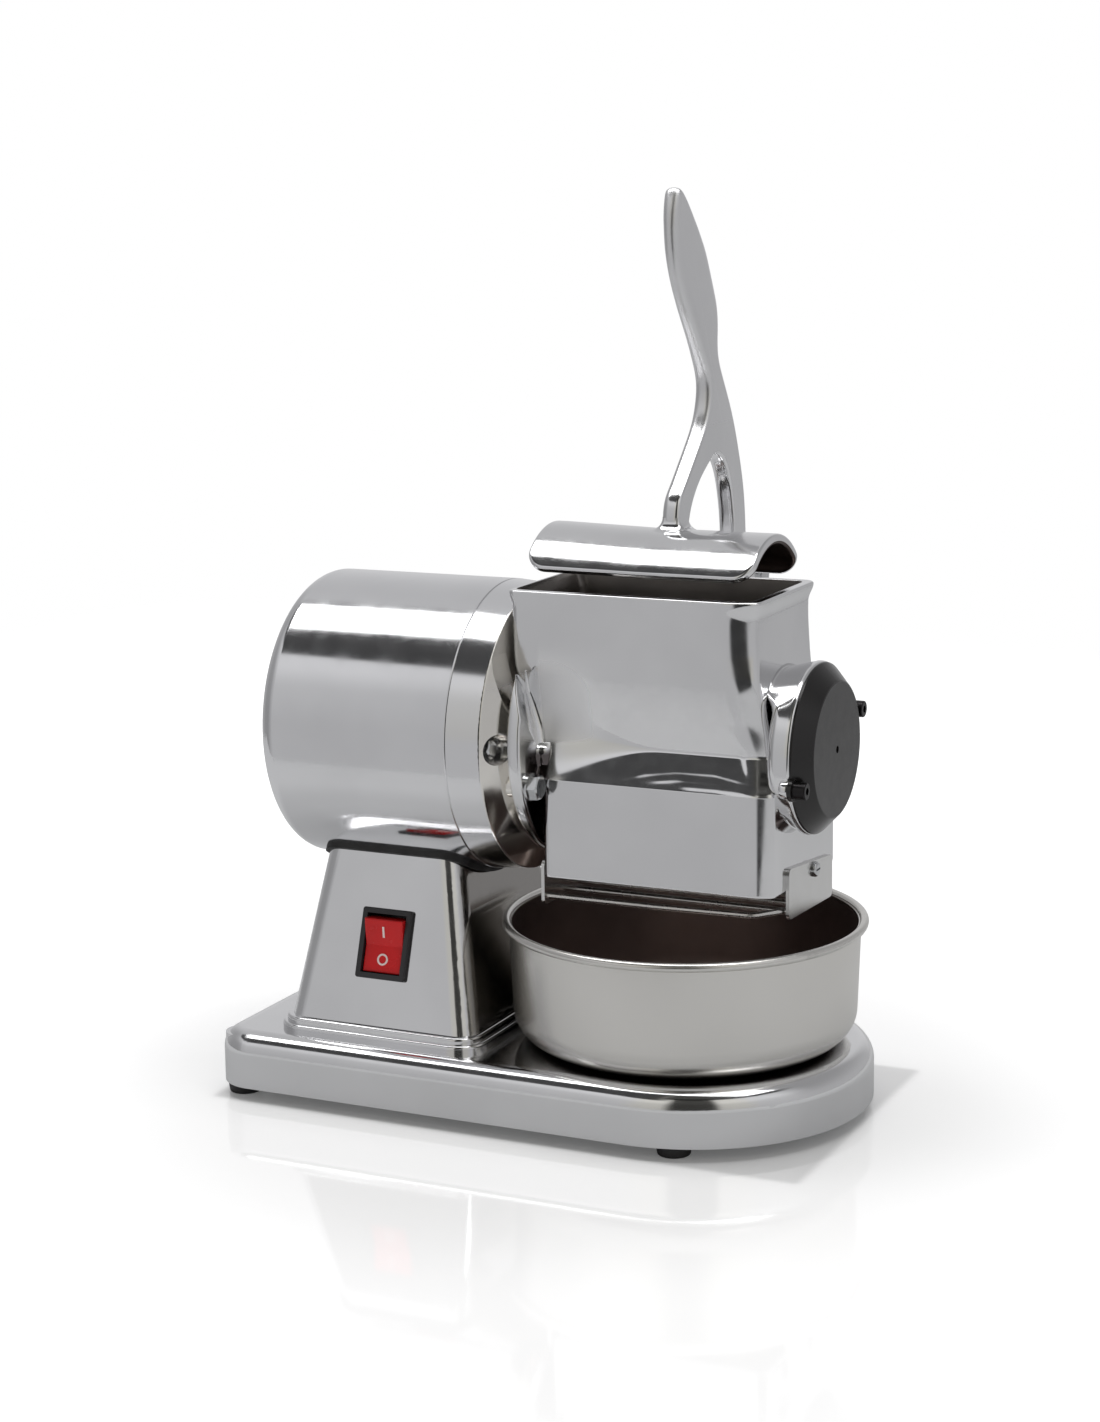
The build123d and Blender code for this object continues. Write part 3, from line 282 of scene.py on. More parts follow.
for sub in frame["record"]["subparts"]:
    dress(NODES[sub["node"]], sub["material_slot"])
def base_metal():
    """Polished casting, with painted shade: the side of the pedestal that faces the bowl is darkened in colour."""
    m, g, b, tc = material("base_aluminium")
    b.inputs["Metallic"].default_value = 1.0
    sep = g.n("ShaderNodeSeparateXYZ")
    g.put(tc, sep.inputs[0])
    face = g.n("ShaderNodeSeparateXYZ")
    g.put(g.n("ShaderNodeTexCoord").outputs["Normal"], face.inputs[0])
    # painted shade: faces above the foot that look towards +X, at the bowl, darken
    side = g.math("MULTIPLY", g.ramp(face.outputs[0], 0.60, 0.90), g.ramp(sep.outputs[2], 0.033, 0.038))
    slow = g.noise(tc, 14.0, 3.0, 0.55)
    colour = g.mix(g.ramp(slow, 0.35, 0.65), rgb(0.808, 0.808, 0.818), rgb(0.86, 0.86, 0.87))
    g.put(g.mix(side, colour, rgb(0.36, 0.345, 0.33)), b.inputs["Base Color"])
    fine = g.noise(tc, 95.0, 4.0, 0.6)
    g.put(g.ramp(fine, 0.3, 0.7, 0.09, 0.15), b.inputs["Roughness"])
    normal = g.bump(g.noise(tc, 26.0, 2.0, 0.45), 3.0e-5)
    g.put(g.bump(g.noise(g.stretch(tc, (1500.0, 60.0, 900.0)), 1.0, 3.0, 0.6), 4.0e-7, 1.0, normal), b.inputs["Normal"])
    return m


NODES["base_casting"].data.materials[0] = base_metal()
NODES["bowl"].data.materials[0] = bowl_metal()
NODES["guard_right_plate"].data.materials[0] = SHEET
NODES["guard_left_plate"].data.materials[0] = SHEET
NODES["motor_front_shield"].data.materials[0] = shield_metal()


# -------------------------------------------------------------- shapes made here
def spline(points, per):
    """Smooth curve through the points (natural cubic spline over chord length), per samples on each span."""
    p = np.array(points, float)
    t = np.concatenate(([0.0], np.cumsum(np.linalg.norm(np.diff(p, axis=0), axis=1))))
    n = len(p)
    h = np.diff(t)
    a = np.eye(n)
    b = np.zeros((n, p.shape[1]))
    for i in range(1, n - 1):
        a[i, i - 1], a[i, i], a[i, i + 1] = h[i - 1], 2 * (h[i - 1] + h[i]), h[i]
        b[i] = 6 * ((p[i + 1] - p[i]) / h[i] - (p[i] - p[i - 1]) / h[i - 1])
    m = np.linalg.solve(a, b)
    out = []
    for i in range(n - 1):
        for k in range(per):
            u = k / per * h[i]
            w = h[i] - u
            out.append((m[i] * w ** 3 + m[i + 1] * u ** 3) / (6 * h[i]) + (p[i] / h[i] - m[i] * h[i] / 6) * w + (p[i + 1] / h[i] - m[i + 1] * h[i] / 6) * u)
    out.append(p[-1])
    return np.array(out)


CURVES = {}


def curve_at(points, x):
    """Value at x of the smooth curve through (x, value) points, x rising."""
    if id(points) not in CURVES:
        CURVES[id(points)] = spline(points, 24)
    c = CURVES[id(points)]
    return np.interp(x, c[:, 0], c[:, 1])


class Shape:
    """Collects vertices (mm, X measured from the bowl centre) and faces, then makes one object of them."""

    def __init__(self):
        self.v, self.f, self.flat, self.second = [], [], set(), []

    def add(self, p):
        self.v.append((float(p[0]), float(p[1]), float(p[2])))
        return len(self.v) - 1

    def rows(self, rows, closed=False, flip=False):
        """Skin over a list of equally long point rows."""
        ids = [[self.add(p) for p in r] for r in rows]
        self.skin(ids, closed, flip)
        return ids

    def skin(self, ids, closed=False, flip=False):
        for a, b in zip(ids, ids[1:]):
            n = len(a)
            for i in range(n if closed else n - 1):
                j = (i + 1) % n
                q = (a[i], a[j], b[j], b[i])
                self.f.append(q[::-1] if flip else q)

    def cap(self, ids, flip=False):
        self.flat.add(len(self.f))
        self.f.append(tuple(ids[::-1] if flip else ids))

    def object(self, name, slot, body, nodes=(), other=None):
        mesh = bpy.data.meshes.new(name)
        mesh.from_pydata([((x + SHIFT) / 1000, y / 1000, z / 1000) for x, y, z in self.v], [], self.f)
        for i, p in enumerate(mesh.polygons):
            p.use_smooth = i not in self.flat
        for a, z in self.second:
            for p in mesh.polygons[a:z]:
                p.material_index = 1
        b = bmesh.new()
        b.from_mesh(mesh)
        bmesh.ops.remove_doubles(b, verts=b.verts, dist=2e-6)
        bmesh.ops.recalc_face_normals(b, faces=b.faces)
        b.to_mesh(mesh)
        b.free()
        o = bpy.data.objects.new(name, mesh)
        bpy.context.scene.collection.objects.link(o)
        o.data.materials.append(MAT[slot])
        if other:
            o.data.materials.append(other)
        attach(o, body)
        if nodes:
            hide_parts(*nodes)
        return o


def lathe_x(shape, profile, y, z, n=96):
    """Closed profile of (X, radius) points turned round an X axis at (y, z)."""
    rows = []
    for k in range(n):
        t = 2 * math.pi * k / n
        rows.append([(x, y + r * math.cos(t), z + r * math.sin(t)) for x, r in profile])
    shape.rows(rows + [rows[0]], closed=True)


# ------------------------------------------------------------------ presser lever
ARM_X, ARM_T = -5.5, 8.0
FRONT = [(-1.0, 250.0), (-1.1, 257.5), (1.3, 265.5), (7.6, 272.0), (14.0, 278.0), (24.0, 287.6), (31.4, 296.0), (35.0, 303.8),
         (35.6, 312.0), (31.0, 321.0), (23.8, 331.0), (16.0, 341.0), (9.2, 350.5), (3.6, 361.0), (0.4, 371.0), (-0.6, 381.0), (0.8, 390.4),
         (4.4, 395.7), (9.8, 393.6), (18.6, 386.2), (32.6, 371.2), (41.6, 356.0), (46.6, 345.1), (47.4, 334.4), (47.0, 325.0),
         (51.6, 314.2), (61.0, 298.5), (69.3, 280.2), (75.3, 261.6), (77.6, 243.3), (78.2, 229.0)]
GAP = [(60.2, 222.0), (62.6, 234.0), (63.2, 245.1), (60.8, 258.8), (55.0, 272.6), (46.6, 279.9), (41.6, 280.8),
       (36.4, 278.6), (27.2, 273.2), (18.2, 265.6), (12.2, 256.0), (10.4, 249.0)]


def even(points, step):
    """The same curve with points a fixed step apart."""
    d = np.concatenate(([0.0], np.cumsum(np.linalg.norm(np.diff(points, axis=0), axis=1))))
    s = np.linspace(0, d[-1], int(round(d[-1] / step)) + 1)
    return np.stack([np.interp(s, d, points[:, 0]), np.interp(s, d, points[:, 1])], axis=1)


outline = np.concatenate([even(spline(FRONT, 30), 0.6), even(spline(GAP, 30), 0.6)])
n_out = len(outline)
nxt, prv = np.roll(outline, -1, axis=0), np.roll(outline, 1, axis=0)
fwd, bwd = nxt - outline, outline - prv
tang = fwd / np.linalg.norm(fwd, axis=1)[:, None] + bwd / np.linalg.norm(bwd, axis=1)[:, None]
tang /= np.linalg.norm(tang, axis=1)[:, None]
inward = np.stack([tang[:, 1], -tang[:, 0]], axis=1)       # the outline runs clockwise seen from +X
# how far the rounding reaches over the side faces (deep) and over the edge (high), along the height
deep = np.interp(outline[:, 1], [220, 292, 304, 316, 330, 350, 376, 390, 396], [1.9, 1.9, 2.2, 3.0, 5.2, 6.6, 5.8, 3.6, 2.4])
high = np.interp(outline[:, 1], [220, 240, 292, 304, 316, 330, 350, 376, 396], [1.8, 2.4, 2.6, 3.1, 3.5, 3.7, 3.8, 3.7, 3.4])
for _ in range(12):
    deep = (np.roll(deep, 1) + deep + np.roll(deep, -1)) / 3
n_front = len(even(spline(FRONT, 30), 0.6))
ends = outline[[0, n_front - 1, n_front, n_out - 1]]
near = np.min(np.linalg.norm(outline[:, None, :] - ends[None, :, :], axis=2), axis=1)
calm = np.clip(near / 6.0, 0.0, 1.0)
deep = deep * calm
half = np.interp(outline[:, 1], [220, 300, 330, 370, 396], [4.0, 4.0, 4.0, 4.0, 3.7])
lever = Shape()
loops = {}
STEPS = 12
for side in (1, -1):
    rows = []
    for k in range(STEPS + 1):
        t = k / STEPS * math.pi / 2
        d = deep * (1 - math.cos(t))
        x = half - (high if side > 0 else np.minimum(3.3, high * np.interp(outline[:, 1], [300, 330], [1.75, 1.0]))) * (1 - math.sin(t))
        q = outline + inward * d[:, None]
        rows.append([(ARM_X + side * x[i], q[i, 0], q[i, 1]) for i in range(n_out)])
    for extra in (0.25, 0.6):
        q = outline + inward * (deep + extra * calm)[:, None]
        rows.append([(ARM_X + side * half[i], q[i, 0], q[i, 1]) for i in range(n_out)])
    ids = lever.rows(rows, closed=True, flip=side < 0)
    lever.cap(ids[-1], flip=side < 0)
    loops[side] = ids[0]
lever.skin([loops[-1], loops[1]], closed=True)

# half-round presser plate: a thick sheet, rounded at its edges and corners
PX0, PX1, PR, PT = -61.8, 41.6, 36.2, 4.3
PC, PA0, PA1, CR, CA = (1.2, 216.7), -55.0, 43.0, 11.0, 108.0
rm, cm = PR - PT / 2, CR - PT / 2
L1 = math.radians(PA1 - PA0) * rm
L2 = math.radians(CA - PA1) * cm
CC = (PC[0] + (PR - CR) * math.sin(math.radians(PA1)), PC[1] + (PR - CR) * math.cos(math.radians(PA1)))
RC, RE = 9.0, 1.3              # corner radius of the sheet, rounding of its edges


def sheet_point(x, s, n):
    if s <= L1:
        c, r, t = PC, rm, math.radians(PA0) + s / rm
    else:
        c, r, t = CC, cm, math.radians(PA1) + (s - L1) / cm
    rise = 1.2 * min(1.0, max(0.0, (ARM_X - 6.0 - x) / 45.0)) * max(0.0, math.cos(t)) ** 2
    return (x, c[0] + (r + n) * math.sin(t), c[1] + (r + n) * math.cos(t) + rise)


def packed(a, b, n, edge):
    """n+1 positions from a to b, crowded towards both ends over the length edge."""
    m = 14
    lo = a + edge * (1 - np.cos(np.linspace(0, math.pi / 2, m, endpoint=False)))
    return np.concatenate([lo, np.linspace(a + edge, b - edge, n), (a + b) - lo[::-1]])


def corner_cut(x):
    e = min(x - PX0, PX1 - x)
    return 0.0 if e >= RC else RC - math.sqrt(max(0.0, RC * RC - (RC - e) ** 2))


def half_thick(x, s):
    qx = abs(x - (PX0 + PX1) / 2) - ((PX1 - PX0) / 2 - RC)
    qs = abs(s - (L1 + L2) / 2) - ((L1 + L2) / 2 - RC)
    d = RC - math.hypot(max(qx, 0.0), max(qs, 0.0)) - min(max(qx, qs), 0.0)
    d = min(max(d, 0.0), RE)
    return PT / 2 - RE + math.sqrt(max(0.0, RE * RE - (RE - d) ** 2))


xs = packed(PX0, PX1, 60, RC)
# extra columns close to the ends, where the sheet's edge is rounded
xs = np.unique(np.concatenate([xs, PX0 + RE * (1 - np.cos(np.linspace(0, math.pi / 2, 9))), PX1 - RE * (1 - np.cos(np.linspace(0, math.pi / 2, 9)))]).round(5))
grids = {}
for side in (1, -1):
    rows = []
    for x in xs:
        c = corner_cut(x)
        ss = packed(c, L1 + L2 - c, 70, RE)
        rows.append([sheet_point(x, s, side * half_thick(x, s)) for s in ss])
    under = len(lever.f)
    grids[side] = lever.rows(rows, flip=side < 0)
    if side < 0:
        lever.second.append((under, len(lever.f)))
for i in (0, -1):
    lever.skin([grids[1][i], grids[-1][i]])
for j in (0, -1):
    lever.skin([[r[j] for r in grids[1]], [r[j] for r in grids[-1]]])

# cove where the arm's front foot runs into the plate
foot = []
FX0, FX1, FY0, FY1, FR = ARM_X - 3.95, ARM_X + 3.95, -0.9, 10.9, 1.4
for cx, cy, a0 in ((FX1 - FR, FY1 - FR, 0), (FX0 + FR, FY1 - FR, 90), (FX0 + FR, FY0 + FR, 180), (FX1 - FR, FY0 + FR, 270)):
    for k in range(9):
        t = math.radians(a0 + 90 * k / 8)
        foot.append((cx + FR * math.cos(t), cy + FR * math.sin(t), math.cos(t), math.sin(t)))
COVE = 5.2
rows = []
for k in range(13):
    t = k / 12 * math.pi / 2
    row = []
    for x, y, nx, ny in foot:
        o = COVE * (1 - math.sin(t)) * (0.75 if ny > 0.5 else 1.0)
        px, py = x + nx * o, y + ny * o
        rise = 1.2 * min(1.0, max(0.0, (ARM_X - 6.0 - px) / 45.0))
        base = PC[1] + math.sqrt(max(0.0, PR * PR - (py - PC[0]) ** 2)) + rise
        row.append((px, py, base - 0.02 + COVE * (1 - math.cos(t))))
    rows.append(row)
lever.rows(rows, closed=True)
# hub round the hinge pin
HX0, HX1, HR, HB, HC = ARM_X - 5.5, ARM_X + 5.5, 9.2, 4.05, 0.8
prof = [(HX0, HB), (HX0, HR - HC)]
prof += [(HX0 + HC * (1 - math.cos(math.radians(a))), HR - HC + HC * math.sin(math.radians(a))) for a in range(15, 91, 15)]
prof += [(HX1 - HC * (1 - math.cos(math.radians(a))), HR - HC + HC * math.sin(math.radians(a))) for a in range(90, -1, -15)]
prof += [(HX1, HB)]
lathe_x(lever, prof, 69.0, 225.0)
# the plate's underside takes the second material, near black as painted shade
lever_metal(lever.object("lever_polished", "polished_aluminium", "lever", ("presser_lever",), SHADE_CASTING))


# ------------------------------------------------------------------ hopper casting
AXZ, RIM, LEDGE, CHUTE_B = 163.4, 229.0, 148.6, 105.6
X0_Z = [(148.6, -50.0), (150.5, -51.6), (153.0, -52.8), (157.0, -53.4), (161.0, -54.2), (166.0, -55.5), (173.0, -57.9), (180.0, -60.2),
        (188.0, -62.8), (195.0, -64.3), (205.0, -64.9), (216.0, -65.0), (229.5, -65.2)]
X1_Z = [(148.6, 55.0), (153.0, 54.3), (157.0, 53.6), (161.0, 52.8), (166.0, 51.7), (173.0, 50.2), (180.0, 48.8),
        (188.0, 47.4), (195.0, 46.4), (205.0, 45.6), (216.0, 45.1), (229.5, 45.5)]
RL_Z = [(148.6, 3.6), (151.0, 2.2), (155.0, 1.2), (164.0, 1.0), (174.0, 2.4), (190.0, 3.6), (205.0, 3.6), (229.5, 3.6)]
# front right corner: a wide easy turn, then a tighter one into the end wall
R1_Z = [(148.6, 17.0), (156.0, 20.0), (166.0, 23.0), (195.0, 25.0), (229.5, 25.0)]
R2_Z = [(148.6, 2.5), (156.0, 3.4), (166.0, 4.4), (195.0, 5.0), (229.5, 5.0)]
TURN = 33.0
TURN_Z = ((148.6, 33.0), (152.0, 30.0), (158.0, 27.0), (191.0, 27.0), (206.0, 33.0), (230.0, 33.0))
COLS, CORN, SIDE = 120, 20, 56
# the front is upright under the rim, leans in below the step and meets the sloping ledge in a fillet that widens towards the motor
LEAN, STEP_Z, SCOOP = 0.2125, 195.0, 0.70
CREASE_Z = (-35.2 + LEAN * STEP_Z + 38.6 + SCOOP * LEDGE) / (LEAN + SCOOP)
CREASE_Y = -38.6 + SCOOP * (CREASE_Z - LEDGE)
RHO_X = [(-72.0, 46.0), (-47.0, 43.0), (-37.0, 33.8), (-26.0, 20.6), (-14.0, 9.0), (-3.0, 2.6), (6.0, 1.4), (30.0, 1.2), (62.0, 1.2)]
UP = np.array([-LEAN, 1.0]) / math.hypot(LEAN, 1.0)
DOWN = np.array([-SCOOP, -1.0]) / math.hypot(SCOOP, 1.0)
HALF = math.acos(float(UP @ DOWN)) / 2
BIS = (UP + DOWN) / np.linalg.norm(UP + DOWN)


def step(t):
    t = min(1.0, max(0.0, t))
    return t * t * (3 - 2 * t)


# ridges left by the grinding wheel in the scoop: x and height over the ledge
MARKS = (((-14.0, 3.2), (-3.0, 5.7), (11.0, 7.5), (28.0, 7.7), (42.0, 5.6)), ((-6.0, 2.6), (12.0, 4.6), (30.0, 4.2), (46.0, 1.6)), ((8.0, 2.2), (30.0, 2.2), (47.0, 0.8)))


def relief(x, z):
    """Soft right-hand end of the scoop and the grinding ridges in it."""
    up = z - LEDGE
    if not (0.0 < up < 30.0 and x > -20.0):
        return 0.0
    end = 0.8 * step((x + 0.55 * up - 44.0) / 7.0) * (step(up / 13.0) if up < 13.0 else 1.0 - step((up - 13.0) / 16.0))
    cut = 0.0
    for line in MARKS:
        zc = float(np.interp(x, [q[0] for q in line], [q[1] for q in line]))
        a = 0.20 * step((x - line[0][0]) / 12.0) * step((line[-1][0] + 3.0 - x) / 7.0)
        cut += a * math.exp(-0.5 * ((up - zc) / 0.85) ** 2)
    return -(end + cut)


def front_y(x, z):
    """Front face of the hopper and of the chute under it."""
    return -38.6 if z <= LEDGE else scoop_y(x, z) + relief(x, z)


def scoop_y(x, z):
    rho = float(curve_at(RHO_X, x))
    reach = rho / math.tan(HALF)
    if z >= CREASE_Z + reach * UP[1]:
        d = STEP_Z - z
        soft = 0.0 if d < -3.0 else d if d > 3.0 else (d + 3.0) ** 2 / 12.0
        return -35.2 + LEAN * soft
    if z <= CREASE_Z + reach * DOWN[1]:
        return -38.6 + SCOOP * (z - LEDGE)
    cy, cz = CREASE_Y + BIS[0] * rho / math.sin(HALF), CREASE_Z + BIS[1] * rho / math.sin(HALF)
    return cy + math.sqrt(max(0.0, rho * rho - (z - cz) ** 2))


def back_y(z):
    return 38.6 if z <= LEDGE else 38.6 - 3.4 * step((z - LEDGE) / 14.0)


def ring_points(x0, x1, fy, by, rl, rr, r1=None, turn=TURN):
    """Closed row round a rounded rectangle, always with the same number of points; fy gives the front Y at x."""
    out = []
    r1 = rr if r1 is None else r1
    turn = math.radians(turn)
    ex = r1 * math.sin(turn) + rr * (1 - math.sin(turn))
    ey = r1 * (1 - math.cos(turn)) + rr * math.cos(turn)
    for t in np.linspace(0, 1, COLS, endpoint=False):
        x = x0 + rl + (x1 - ex - x0 - rl) * t
        out.append((x, fy(x)))

    def arc(cx, cy, r, a0, n):
        for k in range(n):
            a = math.radians(a0 + 90.0 * k / n)
            out.append((cx + r * math.cos(a), cy + r * math.sin(a)))

    def run(p, q, n):
        for k in range(n):
            out.append((p[0] + (q[0] - p[0]) * k / n, p[1] + (q[1] - p[1]) * k / n))

    yr, yl = fy(x1 - ex), fy(x0 + rl)
    for k in range(CORN):
        a = math.pi / 2 * k / CORN
        if a < turn:
            out.append((x1 - ex + r1 * math.sin(a), yr + r1 * (1 - math.cos(a))))
        else:
            out.append((x1 - rr + rr * math.sin(a), yr + ey - rr * math.cos(a)))
    run((x1, yr + ey), (x1, by - rr), SIDE)
    arc(x1 - rr, by - rr, rr, 0, CORN)
    run((x1 - rr, by), (x0 + rl, by), COLS)
    arc(x0 + rl, by - rl, rl, 90, CORN)
    run((x0, by - rl), (x0, yl + rl), SIDE)
    arc(x0 + rl, yl + rl, rl, 180, CORN)
    return out


def outer_row(z, shrink=0.0, zz=None):
    zc = max(z, LEDGE)
    lip = step((z - 220.5) / 7.5) ** 1.2
    x0 = curve_at(X0_Z, zc) - 1.0 * lip + shrink
    x1 = curve_at(X1_Z, zc) + 1.7 * lip - shrink
    rl, rr, r1 = curve_at(RL_Z, zc) - shrink * 0.5, curve_at(R2_Z, zc) - shrink * 0.5, curve_at(R1_Z, zc)
    row = ring_points(x0, x1, lambda x: front_y(x, z) - 1.0 * lip + shrink, back_y(z) + 1.0 * lip - shrink, rl, rr, r1,
                      float(np.interp(zc, [q[0] for q in TURN_Z], [q[1] for q in TURN_Z])))
    return [(x, y, z if zz is None else zz) for x, y in row]


IN_Z = {  # height: left, right, front, back
    229.0: (-64.5, 42.9, 32.1, 32.2), 226.0: (-63.7, 42.6, 31.8, 32.0), 222.0: (-62.6, 42.3, 31.4, 31.8), 200.0: (-62.2, 42.5, 31.2, 31.8),
    193.5: (-61.8, 43.3, 30.4, 31.8), 189.0: (-60.0, 44.2, 29.4, 31.6), 180.0: (-55.3, 46.0, 28.3, 30.4), 170.0: (-50.0, 48.0, 27.4, 28.6),
    163.4: (-46.6, 49.4, 27.2, 28.0), 155.0: (-46.6, 50.2, 27.2, 28.2), 150.0: (-46.6, 51.0, 27.6, 29.6), 146.0: (-46.6, 51.6, 31.0, 33.4),
    142.0: (-46.6, 51.6, 35.0, 35.0), 106.0: (-46.6, 51.6, 35.0, 35.0)}
IN_KEYS = sorted(IN_Z)


def inner_row(z, grow=0.0):
    v = [np.interp(z, IN_KEYS, [IN_Z[k][i] for k in IN_KEYS]) for i in range(4)]
    row = ring_points(v[0] - grow, v[1] + grow, lambda x: -v[2] - grow, v[3] + grow, 4.0 + grow, 4.0 + grow)
    return [(x, y, z) for x, y in row]


hopper = Shape()
rows = []
for a in (90, 60, 30, 0):                                   # rounded lower edge of the chute
    t = math.radians(a)
    rows.append(outer_row(CHUTE_B + 0.5, 0.5 * math.sin(t) ** 1, CHUTE_B + 0.5 * (1 - math.cos(t)) if a < 90 else CHUTE_B) if a == 90
                else outer_row(CHUTE_B + 0.5, 0.5 * (1 - math.cos(t)), CHUTE_B + 0.5 * (1 - math.sin(t))))
for z in np.concatenate([np.linspace(107.0, 147.4, 21), [147.9, 148.15, 148.35, 148.5, 148.62, 148.8, 149.05, 149.4], np.arange(149.9, 170.0, 0.5),
                         np.arange(170.0, 218.0, 1.0), np.arange(218.0, 228.01, 0.4)]):
    rows.append(outer_row(float(z)))
for a in range(10, 91, 10):                                 # rounded outer edge of the rim
    t = math.radians(a)
    rows.append(outer_row(228.0, 1.0 * (1 - math.cos(t)), 228.0 + 1.0 * math.sin(t)))
for a in range(0, 91, 15):                                  # rounded inner edge, then down the inside
    t = math.radians(a)
    rows.append([(x, y, 229.0 - 0.6 * (1 - math.cos(t))) for x, y, _ in inner_row(229.0, 0.6 * (1 - math.sin(t)))])
for z in np.concatenate([np.linspace(228.0, 190.0, 30), np.linspace(188.0, 140.0, 40), np.linspace(138.0, 106.2, 12)]):
    rows.append(inner_row(float(z)))
rows.append([(x, y, CHUTE_B) for x, y, _ in inner_row(106.2)])
ids = hopper.rows(rows, closed=True)
hopper.skin([ids[-1], ids[0]], closed=True)
per_row = len(rows[0])
first_in = len(rows) - 83 - 4
hopper.second.append((first_in * per_row, len(hopper.f) - per_row))


# flange towards the motor; above the shaft its front ear slopes back into the end wall
FB, FF, FR0 = -58.1, -52.6, 54.4


def flange_face(y, z):
    return min(FF, max(FB + 0.02, FF - 0.2272 * (z - 178.0) - 0.2213 * (y + 52.4))) if y < 0 else FF


def flange_reach(cy, cz):
    if cy < 0:
        if cz <= 0.5835:
            return FR0
        return max(12.0, FR0 - (FR0 - 12.0) * step((cz - 0.5835) / 0.03))
    return FR0 if cz < 0.52 else min(FR0, 28.3 / cz) if cy > 0.55 else max(12.0, 51.4 * step((cy - 0.42) / 0.13))


rows = []
N_FL = 360
for k in range(N_FL):
    t = 2 * math.pi * k / N_FL
    cy, cz = math.cos(t), math.sin(t)
    reach = flange_reach(cy, cz)
    row = [(FB, 12.0 * cy, AXZ + 12.0 * cz), (FB, (reach - 0.5) * cy, AXZ + (reach - 0.5) * cz), (FB + 0.15, (reach - 0.15) * cy, AXZ + (reach - 0.15) * cz)]
    top = flange_face(reach * cy, AXZ + reach * cz)
    soft = min(1.1, max(0.02, (top - FB) * 0.45))
    row.append((FB + min(0.5, (top - FB) * 0.3), reach * cy, AXZ + reach * cz))
    for a in range(0, 91, 15):
        q = math.radians(a)
        r = reach - soft * (1 - math.cos(q))
        row.append((flange_face(r * cy, AXZ + r * cz) - soft * (1 - math.sin(q)), r * cy, AXZ + r * cz))
    for r in np.linspace(reach - soft - 0.4, 12.0, 44):
        row.append((flange_face(r * cy, AXZ + r * cz), r * cy, AXZ + r * cz))
    rows.append(row)
hopper.rows(rows + [rows[0]], closed=True)


# rounded inner corner between the flange and the hopper's front, running out upwards
rows = []
for z in np.arange(150.0, 194.8, 0.7):
    rho = float(np.interp(z, [150.0, 154.0, 161.0, 168.0, 180.0, 195.0], [0.8, 1.6, 3.6, 4.2, 2.6, 0.3]))
    yw = front_y(-46.0, z) + 0.01
    xf = flange_face(yw - rho, z) - 0.01
    row = []
    for k in range(21):
        q = k / 20 * math.pi / 2
        row.append((xf + rho * (1 - math.sin(q)), yw - rho * (1 - math.cos(q)), z))
    row += [(xf - 0.6, yw - rho, z), (xf - 0.6, yw + 0.6, z), (xf + rho, yw + 0.6, z)]
    rows.append(row)
ids = hopper.rows(rows, closed=True)
hopper.cap(ids[0])
hopper.cap(ids[-1], flip=True)


def lathe_var(shape, profile_at, n=200):
    """Turned shape about the drum's axis whose profile of (X, radius) points may change with the angle."""
    rows = []
    for k in range(n):
        t = 2 * math.pi * k / n
        rows.append([(x, r * math.cos(t), AXZ + r * math.sin(t)) for x, r in profile_at(math.cos(t), math.sin(t))])
    shape.rows(rows + [rows[0]], closed=True)


def neck_profile(cy, cz):
    r = 38.2 - 10.0 * step((cz + 0.10) / 0.24) - 30.0 * step((cz - 0.12) / 0.2)
    r = max(r, 6.0)
    return [(-53.2, 4.0), (-53.2, r), (-52.6, r), (-52.0, r - 0.9), (-51.0, r - 1.5), (-48.2, r - 1.6), (-48.2, 4.0)]


lathe_var(hopper, neck_profile)


# ring that carries the drum cap: a small cove into the end wall, tucked in behind the rounded front corner
def ring_profile(cy, cz):
    zr = AXZ + 36.9 * cz
    xw = float(curve_at(X1_Z, min(229.0, max(zr + 2.0 * cz, LEDGE))))
    rf = 1.8
    w = step((abs(cy) - 0.60) / 0.26)
    p = []
    for a in range(0, 91, 6):
        t = math.radians(a)
        xa, ra = xw - 0.15 + rf * (1 - math.cos(t)), 33.8 + rf * (1 - math.sin(t))
        xb, rb = 50.2 + 5.4 * (1 - math.cos(t)), 29.0 + 7.9 * math.sin(t)
        p.append((xa + (xb - xa) * w, ra + (rb - ra) * w))
    p += [(59.5, 36.9), (60.6, 36.9), (61.3, 36.75), (61.75, 36.4), (62.0, 35.9), (62.0, 27.4), (51.5, 27.4), (50.2, 28.2)]
    return p


lathe_var(hopper, ring_profile, 240)
for ang in (17.0, 197.0):
    sy, sz = 36.8 * math.cos(math.radians(ang)), AXZ + 36.8 * math.sin(math.radians(ang))
    prof = [(57.5, 0.2), (57.6, 2.6), (58.0, 3.5), (58.6, 3.9), (61.4, 3.9), (61.85, 3.6), (62.0, 3.2), (62.0, 0.2)]
    lathe_x(hopper, prof, sy, sz, 48)

